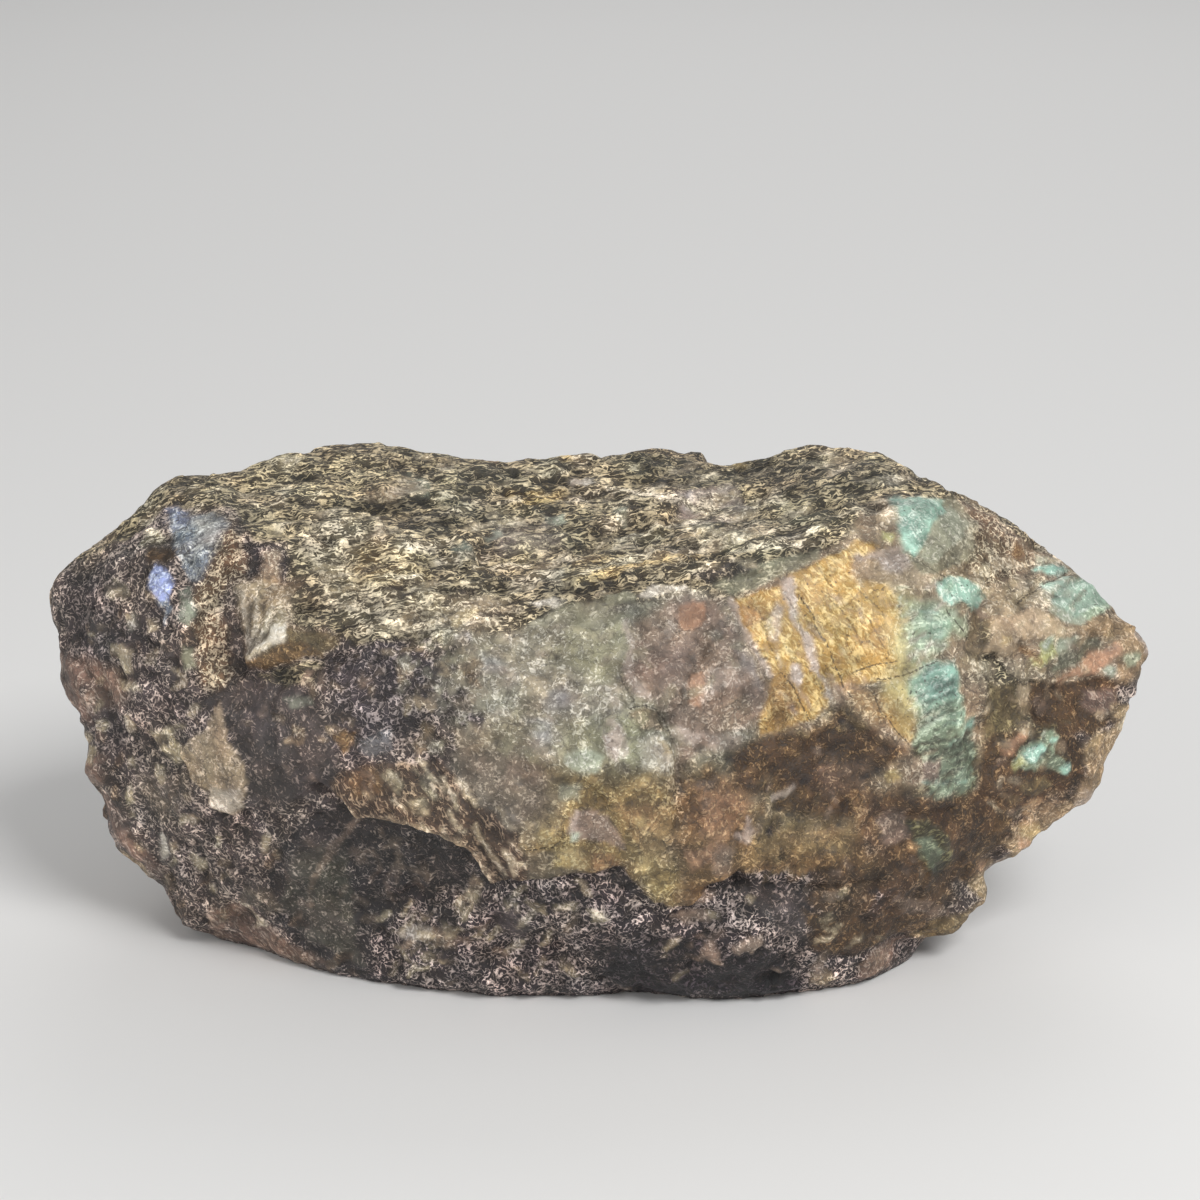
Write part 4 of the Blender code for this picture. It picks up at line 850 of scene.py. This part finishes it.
streak(CREAM, ((-20, 15.5), (-19, 15.4)), width=0.7, weight=0.6)
streak(CREAM, ((-17.6, 14.5), (-16.4, 14.4)), width=0.7, weight=0.6)
streak(CREAM, ((-11, 8.2), (-8.5, 8.4)), width=0.4, weight=0.8)
streak(WHITE, ((-3, 13.3), (-1.2, 12.9)), width=0.9, weight=0.7)
for rise in range(4):
    streak(OCHRE_CRUST, ((-4 + 3 * rise, 1.8 + 0.5 * rise), (2 + 3 * rise, 3.4 + 0.5 * rise)), width=0.6,
           weight=0.6)
    streak(CREAM_CRUST, ((1 + 2.4 * rise, 12.2 - 0.4 * rise), (5 + 2.4 * rise, 11.2 - 0.4 * rise)),
           width=0.5, weight=0.8)
    streak(CREAM_CRUST, ((-22 + 4 * rise, 5.5 - 1.2 * rise), (-16 + 4 * rise, 6.5 - 1.2 * rise)),
           width=0.7, weight=0.7, lift=0.1)
for low in range(6):
    streak(SHADOW, ((49.2 + 0.9 * low, -7.4 + 0.3 * low), (51.6 + 0.7 * low, -5.2 + 0.2 * low)),
           width=0.2, weight=0.55)
    streak(SHADOW, ((35.2 + 0.3 * low, -10.4 - 0.95 * low), (39.2, -9.2 - 0.95 * low)), width=0.25,
           weight=0.6)
    streak(SHADOW, ((35.3 + 0.3 * low, -15.9 - 0.9 * low), (41, -14.6 - 0.9 * low)), width=0.25, weight=0.6)


# How the stone broke. Every mineral breaks in chips of its own size, the crust lies in thin beds
# of fibres that rise to the right, and steps and cracks run along the cleavage.

BREAK_SEED = 5            # settles which way each chip tilts
SWELL_SIZE = 12.0         # the broad swells over the whole stone, mm, and their depth
SWELL_DEPTH = 0.5
LEDGE_SIZE = 8.0          # the cleavage ledges round the back
LEDGE_DEPTH = 2.0
BACK_CHIP_SIZE = 15.0     # the broad chips round the back
BACK_CHIP_DEPTH = 4.0
CHIP_SIZES = ((9.0, 0.20, 2.0), (4.5, 0.32, 6.0))    # size, depth to that size, and where they start
FINE_CHIP_SIZE = 2.2
FINE_LIMIT = 0.5          # the most that the finest breaks stand out or in, mm
OUTLINE_WEAR = 0.6        # how much of the relief is worn off at the outline
CRACK_WIDTH = 0.4
BED_RISE = math.radians(12)
LIP_FALL = math.radians(-52)
GOLD_COMBING = math.radians(-62)
TEAL_COMBING = math.radians(16)


def chipped(places, size, shift):
    """Flat chips, each with its own tilt: how far each place stands out, in chip sizes."""
    heights = []
    for place in (places / size + shift).tolist():
        cell = noise.voronoi(place)[1][0]
        tilt = noise.noise_vector(cell * 3.7 + Vector((0.3, 0.6, 0.9))).normalized()
        heights.append(tilt.dot(Vector(place) - cell))
    return np.array(heights)


def ridged(places, size, shift):
    """Sharp-crested ridges with round valleys between them, from -1 to 1."""
    scaled = (places / np.array(size) + shift).tolist()
    return 1.0 - 3.2 * np.abs(np.array([noise.noise(place) for place in scaled]))


def along_beds(places):
    """The places, turned so that the first axis runs along the crust's beds."""
    turned = places.copy()
    turned[:, 0] = places[:, 0] * math.cos(BED_RISE) + places[:, 2] * math.sin(BED_RISE)
    turned[:, 2] = places[:, 2] * math.cos(BED_RISE) - places[:, 0] * math.sin(BED_RISE)
    return turned


def combed(spots, direction, size, shift):
    """Ridges that run one way across the sheet."""
    run = spots[:, 0] * math.cos(direction) + spots[:, 1] * math.sin(direction)
    across = spots[:, 1] * math.cos(direction) - spots[:, 0] * math.sin(direction)
    return ridged(np.stack([run, across, np.zeros(len(run))], axis=1), size, shift)


noise.seed_set(BREAK_SEED)
relief = np.zeros(len(skin))
crack_side = np.full(len(skin), 2.0)
crack_near = np.zeros(len(skin))


def drop(line, depth, reach, width=0.35):
    """The stone drops on the right of the line as it runs, and comes back over reach mm."""
    side = -off_line(steady, line)
    near = step(1.5, 0.0, past_ends(steady, line)) * front
    relief[:] -= depth * step(-width, width, side) * (1.0 - step(0.0, reach, side)) * near


def knob(middle, reach, height):
    """The stone swells out round a spot, or is nicked where the height is negative."""
    away = np.hypot(*(sheet - np.array(middle)).T)
    relief[:] += height * np.exp(-(away / reach) ** 2) * step(-0.7, -0.3, normals @ TOWARDS_VIEW)


def groove(line, depth, width):
    """A groove along the line."""
    side = off_line(steady, line)
    near = step(1.0, 0.0, past_ends(steady, line)) * front
    relief[:] -= depth * np.exp(-(side / width) ** 2) * near


def crack(line, depth=0.10, strength=1.0):
    """A fine dark crack along the line."""
    side = off_line(steady, line)
    near = np.exp(-side ** 2) * step(0.8, 0.0, past_ends(steady, line)) * front * strength
    relief[:] -= depth * np.exp(-(side / CRACK_WIDTH) ** 2) * near
    closer = near > crack_near
    crack_side[closer] = side[closer]
    crack_near[closer] = near[closer]


chips, grain, lie = (look[name][:, 0] for name in ("chips", "grain", "lie"))
beds = along_beds(skin + 0.6 * np.stack([shiver[:, 0], shiver[:, 1], shiver[:, 0]], axis=1))
relief += SWELL_DEPTH * waves(skin, SWELL_SIZE, 3, 6.1)
# Round the back, cleavage ledges and broad chips.
behind = step(-0.15, -0.40, normals @ TOWARDS_VIEW)
climb = skin @ np.array([0.25, 0.15, 0.95]) / LEDGE_SIZE + 0.10 * shake[:, 0] + 0.04 * shiver[:, 0]
relief += LEDGE_DEPTH * (climb - np.floor(climb) - 0.5) * behind * step(-0.15, 0.10, broad)
relief += BACK_CHIP_DEPTH * chipped(skin, BACK_CHIP_SIZE, 4.2) * behind
for size, depth, shift in CHIP_SIZES:
    relief += depth * chips * size * chipped(skin, size, shift)
fine = 0.5 * chips * FINE_CHIP_SIZE * chipped(skin, FINE_CHIP_SIZE, 4.0)
fine += grain * (0.45 * waves(skin, 2.2, 4, 8.8) + 0.35 * ridged(skin, 1.4, 3.1))
rising = np.clip(lie, 0.0, 1.0)
falling = np.clip(-lie, 0.0, 1.0)
fine += rising * (0.24 * ridged(beds, (6.5, 1.5, 1.0), 1.7) + 0.36 * ridged(beds, (20.0, 4.0, 2.4), 5.2))
fine += falling * grain * combed(steady, LIP_FALL, (6.0, 1.5, 1.0), 4.4)
fine = np.clip(fine, -FINE_LIMIT, FINE_LIMIT)
relief += fine + lifted
relief *= 1.0 - OUTLINE_WEAR * step(0.30, 0.0, np.abs(normals @ TOWARDS_VIEW))

# Knobs and nicks along the outline, round from the left of the crest.
for middle, reach, height in (((-45.5, 12.6), 4.2, 1.7), ((-60, 1.5), 4.0, 1.4), ((-58.5, -9), 3.0, 0.9),
                              ((-56.3, -19.3), 2.2, 1.5), ((-53, -27), 4.0, 0.9), ((-45.4, -36), 3.0,
                              1.1), ((-18, -43.5), 6.0, 1.0), ((25.5, 17), 5.0, 1.0), ((48, 6.5), 3.0,
                              -0.8), ((59.5, -5.3), 3.0, 1.2), ((53.5, -20.5), 4.0, 1.2), ((43.7, -30.4),
                              1.3, -1.6), ((42.8, -33.4), 1.8, 1.6), ((34.8, -39.8), 4.0, -2.2),
                              ((36, 15), 4.0, -0.9), ((-58, -6), 3.0, -0.7)):
    knob(middle, reach, height)

# The lip over the hollow, the belly's lower edge, and the shelf under the brown stone.
drop(((-31, -20.5), (-28.3, -22.7), (-26.9, -24.5), (-25, -24.3), (-21, -25), (-17.5, -26.3),
     (-14.5, -27.5), (-12, -31.3)), depth=1.6, reach=9.0)
drop(((-12, -31.4), (-8, -31.3), (-5, -30.8), (-1.5, -30.5), (1.3, -29.4), (2.8, -29.5), (4, -31.5),
     (6, -33.8), (10, -33.8), (12, -31.5), (15, -30.2)), depth=1.3, reach=6.0)
drop(((8, -34.8), (10, -34.5), (13, -34.3)), depth=0.6, reach=2.5)
drop(((15.5, -30.5), (18, -31.2), (24, -31.2), (31, -31)), depth=0.7, reach=4.0)
drop(((30, -23.2), (34, -23.4), (39.5, -23), (43, -21.7)), depth=0.6, reach=3.0)
drop(((-47, -9.8), (-43.5, -10.6), (-40, -9.6), (-37.5, -8.2), (-32, -9.2)), depth=0.5, reach=3.0)
drop(((-38.8, -7.4), (-34.5, -6.9), (-30.5, -6.4), (-26, -5), (-20, -4.2), (-17, -4.4)), depth=0.7,
     reach=3.0)
drop(((-55, -19.5), (-51, -26), (-47, -31)), depth=0.5, reach=3.0)

# The ledges of the crust, and the brow.
drop(((-13, -3.2), (-8, -0.6), (-3, -0.3), (1, 0.4), (6, 1.6), (11, 2), (18.5, 3.4)), depth=0.6, reach=3.0)
drop(((4.5, 7), (11, 8.6), (20, 10), (28.5, 12), (35, 13)), depth=0.5, reach=3.0)
drop(((-18.5, 4.5), (-9, 5.5), (0, 7.5), (10, 10.5), (17.5, 12)), depth=0.5, reach=3.0)
drop(((10.5, 5.9), (15, 6.4), (20, 8.4), (26, 10)), depth=0.5, reach=2.0)
drop(((-38.5, 9), (-29.5, 10.5), (-20, 11), (-11, 12)), depth=0.4, reach=3.0)

# The steps of the flash face, the valley to its right, and the upright bars at the left.
drop(((37.5, -7), (35.5, -7.1), (33.5, -8), (30.5, -8.8), (27.5, -9.8)), depth=0.5, reach=4.0)
drop(((24.5, -9.6), (25, -11.2), (24, -13.4), (22, -13.9), (18, -15.2)), depth=0.6, reach=4.0)
drop(((19.5, -15), (18.5, -10), (16.8, -4.8), (15, 0.5)), depth=0.5, reach=3.0)
drop(((31, 9), (33.2, 5.6), (34.8, 5.4), (36.3, 7.6), (37.4, 10)), depth=0.4, reach=2.5)
drop(((43, -5.6), (44.5, -6.3), (46, -5.4)), depth=0.6, reach=3.0)
drop(((46.3, -4.5), (49, -4.2), (51, -4.3), (55, -4.1)), depth=0.4, reach=2.5)
drop(((50, -9.6), (51.5, -8.5), (54, -8.3), (57, -9)), depth=0.7, reach=4.0)
groove(((44.5, 2), (42.5, 0), (41.4, -4.5), (40.2, -8), (41, -14), (42, -22)), depth=0.7, width=1.4)
groove(((-40.4, 0), (-39.8, -4.5), (-40.3, -9)), depth=0.6, width=0.8)
groove(((-47.3, -3), (-47, -9)), depth=0.5, width=0.7)
groove(((45.9, -0.3), (47.5, 0.6), (49.2, 1.8), (51.2, 3)), depth=0.4, width=0.4)
groove(((2.5, -8.5), (3.4, -11.6), (4.8, -11.5), (6.2, -12), (7.8, -14.5), (8.9, -17.8), (8.7, -23),
       (8.3, -33.5)), depth=0.45, width=0.4)

# Cracks, first over the flash face, then over the rest.
for line in (((22, 0.2), (23.5, -1.8), (24, -3.6), (25.5, -6.6), (26.8, -9), (27.8, -10.8)), ((30.2, -10),
             (31, -12), (33.5, -15.6)), ((20, -8.2), (21.5, -10.2), (23.3, -13.2)), ((28, -8), (30.5, -7),
             (32.5, -6.7)), ((30.5, -8.8), (33.5, -8), (37, -6.9)), ((37.8, -1), (39.2, -2.7),
             (40.7, -4.3)), ((45.9, -0.3), (47.5, 0.6), (49.2, 1.8), (51.2, 3)), ((3, -12.7),
             (3.5, -11.7), (4.8, -11.4), (6.2, -11.9), (7.2, -13), (7.8, -14.5), (8.9, -17.8), (8.6, -23),
             (8.2, -33.5)), ((43.9, -6.2), (45, -8), (46.7, -9.5), (47.6, -9.2)), ((-8, -27.2),
             (-5.5, -27), (-4.3, -26), (-4.2, -24.8)), ((-49, 6.4), (-46.8, 6.8))):
    crack(line, depth=0.13)
for line in (((20.3, 0.8), (21.5, -1.5), (22.5, -4.3)), ((28, 1), (30, -0.7), (31, -1.8)), ((24.5, 0.8),
             (26, -0.8), (27.5, -3), (28.5, -5)), ((26.5, -3.9), (27.5, -6), (28.5, -7)), ((22.7, -7.5),
             (24, -9), (25, -10.8)), ((46.9, -23), (48.8, -24.5)), ((51.2, -21.6), (51.9, -22.3)),
             ((2.5, -8.5), (3.2, -10), (4.2, -11.3)), ((-6.8, -21.5), (-6.8, -23.2)), ((-7.7, -22),
             (-5.9, -22.7)), ((0.8, -23.5), (2, -25.5), (2.8, -27.6)), ((8.2, -2), (9, -3.4), (11, -3)),
             ((9.7, -8), (9.8, -11.4)), ((11.8, -12), (12.3, -9), (12, -7)), ((23.8, 3.8), (25.3, 1.6),
             (26.2, 0.5)), ((17.3, -1), (18.6, -4.4), (19.6, -7)), ((29.5, -2.5), (30.6, -4.6),
             (31.6, -6)), ((-30, -6.5), (-29, -10)), ((-41, -3), (-41.3, -8.6)), ((34, 4.9), (36, 3.3),
             (38.4, 2.6)), ((-12, -27), (-13.5, -24.3), (-14.6, -21.5)), ((31, -30.6), (34.6, -29.6),
             (38.6, -30.2))):
    crack(line, depth=0.06, strength=0.6)

# The fine scoring of the gold and the ripples of the teal.
relief += 0.07 * look["comb"][:, 0] * combed(steady, GOLD_COMBING, (7.0, 1.3, 1.0), 2.9)
relief += 0.10 * look["ripple"][:, 0] * combed(steady, TEAL_COMBING, (5.0, 1.1, 1.0), 7.3)

hold = step(0.0, 2.5, skin[:, 2])                         # the base stays flat
shaped = skin + normals * (relief * hold)[:, None]
shaped[:, 2] = np.where((skin[:, 2] < 0.6) & (normals[:, 2] < -0.7), 0.0, np.maximum(shaped[:, 2], 0.0))
put_places(stone.data, shaped)
rub(stone.data, 1)


# The stone's finish. The coats become colours and numbers on the mesh, and the material adds what
# is finer than its weave: fibres and worm-like flecks, grain, dark pits, cracks and a satin flash.

PIT_COLOUR = (0.035, 0.025, 0.018, 1.0)     # in pits, seams and cracks
PIT_WEIGHT = 0.7
FELDSPAR_IOR = 1.56
SATIN_ROUGHNESS = 0.25                      # of the clear coat over the flash
SATIN_WEIGHT = 0.25
BUMP_HEIGHT = 0.34                          # how deep the fibres and the grit are cut, mm
FLECK_RIM = 0.07                            # how soft the flecks' rims are
RISING_STRETCH = (4.2, 1.1, 0.72)           # how strokes are drawn out along, into and across
FALLING_STRETCH = (2.8, 1.0, 0.85)


def keep_number(name, values):
    stone.data.attributes.new(name, "FLOAT", "POINT").data.foreach_set("value", values.astype(np.float32))


def keep_colour(name, values):
    padded = np.concatenate([values, np.ones((len(values), 1))], axis=1)
    stone.data.attributes.new(name, "FLOAT_COLOR", "POINT").data.foreach_set(
        "color", padded.astype(np.float32).ravel())


warm = waves(skin, 5.0, 3, 3.3)
sea = waves(skin, 4.2, 3, 11.3)
blush = waves(skin, 6.0, 3, 15.1)
shade = waves(skin, 2.6, 4, 19.7)
unrest = np.clip(look["grain"] / 0.22, 0.3, 1.0)
drift = (np.outer(warm, (0.07, 0.01, -0.11)) + np.outer(sea, (-0.06, 0.01, 0.03))
         + np.outer(blush, (0.07, -0.03, 0.0)))
mottle = (1.0 + 0.45 * unrest * shade[:, None]) * (1.0 + unrest * drift)
look["ground"] *= mottle
look["fleck"] *= 1.0 + 0.5 * (mottle - 1.0)
look["cover"] *= (1.0 + 0.6 * waves(skin, 2.2, 3, 23.0))[:, None]
# Wear and painted shade: proud relief is paler with wear, and hollows are darker with dirt and painted
# shade.
wear_and_painted_shade = 1.0 + 0.55 * np.clip((fine + 0.6 * lifted) / 0.30, -1.0, 1.0)   # proud is paler, hollow darker
keep_colour("ground", look["ground"] * wear_and_painted_shade[:, None])
keep_colour("fleck", look["fleck"] * wear_and_painted_shade[:, None])
for kept in ("cover", "lie", "shine", "grain"):
    keep_number(kept, look[kept][:, 0])
keep_number("crack_side", crack_side)
keep_number("crack_near", crack_near)

finish = bpy.data.materials.new("rough labradorite")
finish.use_nodes = True
tree = finish.node_tree


def add(kind, inputs=None, **settings):
    """Adds a node, with its settings, and sets or links its inputs."""
    made = tree.nodes.new(kind)
    for name, value in settings.items():
        setattr(made, name, value)
    for socket, value in (inputs or {}).items():
        if isinstance(value, bpy.types.NodeSocket):
            tree.links.new(value, made.inputs[socket])
        else:
            made.inputs[socket].default_value = value
    return made


def calc(operation, first, second=0.0, third=0.0):
    return add("ShaderNodeMath", {0: first, 1: second, 2: third}, operation=operation).outputs[0]


def ramp(value, low, high, start=0.0, end=1.0):
    """start below low, end above high, with a soft ramp between."""
    return add("ShaderNodeMapRange", {0: value, 1: low, 2: high, 3: start, 4: end},
               interpolation_type="SMOOTHSTEP").outputs[0]


def blend(share, under, over):
    return add("ShaderNodeMix", {0: share, 6: under, 7: over}, data_type="RGBA").outputs[2]


def dim(colour, amount):
    """The colour times a number."""
    return add("ShaderNodeVectorMath", {0: colour, 3: amount}, operation="SCALE").outputs[0]


def speckle(where, per_mm, detail=2.0, roughness=0.5):
    return add("ShaderNodeTexNoise", {"Vector": where, "Scale": per_mm, "Detail": detail,
                                      "Roughness": roughness}).outputs["Fac"]


def kept_number(name):
    return add("ShaderNodeAttribute", attribute_name=name).outputs["Fac"]


def kept_colour(name):
    return add("ShaderNodeAttribute", attribute_name=name).outputs["Color"]


here = add("ShaderNodeVectorMath", {0: add("ShaderNodeTexCoord").outputs["Object"], 3: 1 / MM},
           operation="SCALE").outputs[0]


def shaken_by(per_mm, far, detail=1.0, roughness=0.5):
    """The places, each pushed aside by up to far mm."""
    push = add("ShaderNodeTexNoise", {"Vector": here, "Scale": per_mm, "Detail": detail,
                                      "Roughness": roughness})
    return add("ShaderNodeVectorMath", {0: push.outputs["Color"], 1: (far, far, far), 2: here},
               operation="MULTIPLY_ADD").outputs[0]


bent = shaken_by(0.8, 1.2)


def drawn_out(rise, stretch):
    """The warped places, drawn out along a direction that rises to the right."""
    return add("ShaderNodeMapping", {"Vector": bent, "Rotation": (0.0, -rise, 0.0), "Scale": stretch},
               vector_type="TEXTURE").outputs[0]


lean = kept_number("lie")
shine = kept_number("shine")
cover = kept_number("cover")
thread_share = ramp(kept_number("grain"), 0.12, 0.30, 0.35, 1.0)


def strokes(where):
    """Dense worm-like strokes: pale blots, with thin pale threads winding between them."""
    blots = speckle(where, 2.6, 1.5, 0.55)
    threads = calc("ABSOLUTE", calc("SUBTRACT", speckle(where, 1.5, 1.5, 0.5), 0.5))
    thread_height = calc("MULTIPLY", ramp(threads, 0.0, 0.06, 0.16, -0.05), thread_share)
    return calc("ADD", calc("MULTIPLY_ADD", blots, 0.62, 0.19), thread_height)


# Flecks: the strokes wind, rise along the beds or fall, as the mineral has it.
winding_strokes = strokes(bent)
rising_strokes = strokes(drawn_out(BED_RISE, RISING_STRETCH))
falling_strokes = strokes(drawn_out(LIP_FALL, FALLING_STRETCH))
risen = add("ShaderNodeMix", {0: ramp(lean, 0.0, 1.0), 2: winding_strokes, 3: rising_strokes}).outputs[0]
pattern = add("ShaderNodeMix", {0: ramp(lean, 0.0, -1.0), 2: risen, 3: falling_strokes}).outputs[0]
restless = ramp(kept_number("grain"), 0.04, 0.22, 0.35, 1.0)
cloud = speckle(here, 0.7, 3.0, 0.65)
level = calc("ADD", calc("MULTIPLY_ADD", cover, -0.30, 0.65), ramp(cloud, 0.3, 0.7, 0.05, -0.05))
flecks = ramp(pattern, calc("SUBTRACT", level, FLECK_RIM), calc("ADD", level, FLECK_RIM))
flecked = blend(flecks, kept_colour("ground"), kept_colour("fleck"))

# Sand: a fine grit over a coarser one.
grit = speckle(here, 3.2, 3.0, 0.6)
coarse_grit = speckle(here, 1.1, 2.0, 0.6)
sand = calc("MULTIPLY", ramp(grit, 0.33, 0.67, 0.76, 1.20), ramp(coarse_grit, 0.3, 0.7, 0.86, 1.12))
sandy = dim(flecked, calc("MULTIPLY_ADD", calc("SUBTRACT", sand, 1.0), restless, 1.0))

# Plates: each a shade of its own, broad ones with small ones on them, and dark seams between.
crumpled = shaken_by(0.9, 1.6, 3.0, 0.6)


def plates(per_mm, depth):
    """Cells, each with its own shade, up to that depth darker or paler."""
    cells = add("ShaderNodeTexVoronoi", {"Vector": crumpled, "Scale": per_mm}).outputs["Color"]
    return ramp(add("ShaderNodeSeparateColor", {0: cells}).outputs[0], 0.1, 0.9, 1.0 - depth, 1.0 + depth)


plate_shade = calc("MULTIPLY", plates(0.32, 0.16), plates(0.85, 0.24))
small_edge = add("ShaderNodeTexVoronoi", {"Vector": crumpled, "Scale": 0.6},
                 feature="DISTANCE_TO_EDGE").outputs[0]
shaded = dim(sandy, calc("MULTIPLY_ADD", calc("SUBTRACT", plate_shade, 1.0), restless, 1.0))

# Dark lines: seams between plates, pits in the satin minerals, and the placed cracks.
seams = calc("MULTIPLY", ramp(small_edge, 0.08, 0.02), ramp(speckle(here, 0.5, 1.0), 0.42, 0.60))
pits = calc("MULTIPLY", ramp(speckle(here, 1.9, 1.0), 0.31, 0.27), ramp(shine, 0.0, 0.6))
crack_edge = calc("ADD", calc("ABSOLUTE", kept_number("crack_side")), ramp(grit, 0.3, 0.7, -0.07, 0.12))
cracks = calc("MULTIPLY", ramp(crack_edge, 0.13, 0.04), ramp(kept_number("crack_near"), 0.2, 0.9))
dark_seams = calc("MULTIPLY", calc("MULTIPLY", seams, restless), 0.8)
dark_lines = calc("MAXIMUM", calc("MAXIMUM", pits, dark_seams), cracks)
colour = blend(calc("MULTIPLY", dark_lines, PIT_WEIGHT), shaded, PIT_COLOUR)

height = calc("ADD", calc("MULTIPLY_ADD", flecks, 0.8, calc("MULTIPLY", grit, 0.8)),
              calc("MULTIPLY", cracks, -0.8))
bump = add("ShaderNodeBump", {"Strength": ramp(kept_number("grain"), 0.05, 0.35, 0.35, 1.0),
                              "Distance": BUMP_HEIGHT * MM, "Height": height}).outputs[0]
surface = tree.nodes["Principled BSDF"]
surface.inputs["IOR"].default_value = FELDSPAR_IOR
surface.inputs["Coat Roughness"].default_value = SATIN_ROUGHNESS
tree.links.new(colour, surface.inputs["Base Color"])
tree.links.new(bump, surface.inputs["Normal"])
tree.links.new(calc("ADD", ramp(shine, 0.0, 1.0, 0.62, 0.34), ramp(grit, 0.3, 0.7, -0.08, 0.10)),
               surface.inputs["Roughness"])
for satin in ("Metallic", "Coat Weight"):
    tree.links.new(calc("MULTIPLY", shine, SATIN_WEIGHT), surface.inputs[satin])

stone.data.materials.clear()
stone.data.materials.append(finish)
stone.data.shade_smooth()
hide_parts(NODE)
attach(stone, "root")


# The floor, a plain pale sheet that runs out of sight, and the soft studio light over it.

FLOOR_HALF = 6.0
FLOOR_COLOUR = (0.80, 0.795, 0.785, 1.0)
FLOOR_ROUGHNESS = 0.8
sheet_of_floor = bpy.data.meshes.new("floor")
sheet_of_floor.from_pydata([(-FLOOR_HALF, -FLOOR_HALF, 0), (FLOOR_HALF, -FLOOR_HALF, 0),
                            (FLOOR_HALF, FLOOR_HALF, 0), (-FLOOR_HALF, FLOOR_HALF, 0)], [], [(0, 1, 2, 3)])
floor = bpy.data.objects.new("floor", sheet_of_floor)
bpy.context.scene.collection.objects.link(floor)
paint = bpy.data.materials.new("pale floor paint")
paint.use_nodes = True
matt = paint.node_tree.nodes["Principled BSDF"]
matt.inputs["Base Color"].default_value = FLOOR_COLOUR
matt.inputs["Roughness"].default_value = FLOOR_ROUGHNESS
sheet_of_floor.materials.append(paint)

STONE_MIDDLE = Vector((0.0, 0.0, 0.027))


def soft_light(name, place, size, watts):
    """A square lamp that faces the stone."""
    lamp = bpy.data.lights.new(name, "AREA")
    lamp.size = size
    lamp.energy = watts
    holder = bpy.data.objects.new(name, lamp)
    holder.location = place
    holder.rotation_euler = (STONE_MIDDLE - Vector(place)).to_track_quat("-Z", "Y").to_euler()
    bpy.context.scene.collection.objects.link(holder)


soft_light("key", (0.30, -0.45, 0.62), 0.30, 4.2)
soft_light("fill", (-0.65, -0.55, 0.25), 0.60, 2.2)
soft_light("back", (0.10, 0.70, 0.60), 0.60, 1.5)
room = bpy.data.worlds.new("room")
room.use_nodes = True
room.node_tree.nodes["Background"].inputs["Color"].default_value = (1.0, 1.0, 1.0, 1.0)
room.node_tree.nodes["Background"].inputs["Strength"].default_value = 0.35
bpy.context.scene.world = room
bpy.context.scene.view_settings.view_transform = "Standard"


# The camera, at the viewing point: a little above the stone, square to its front.

LENS = 90.0
SENSOR = 36.0
eye = bpy.data.cameras.new("camera")
eye.lens = LENS
eye.sensor_width = SENSOR
eye.clip_start = 0.01
eye.clip_end = 30.0
camera = bpy.data.objects.new("camera", eye)
aim = Vector(AIM) * MM
camera.location = aim + Vector(TOWARDS_VIEW) * VIEW_DISTANCE * MM
camera.rotation_euler = (aim - camera.location).to_track_quat("-Z", "Y").to_euler()
bpy.context.scene.collection.objects.link(camera)
bpy.context.scene.camera = camera
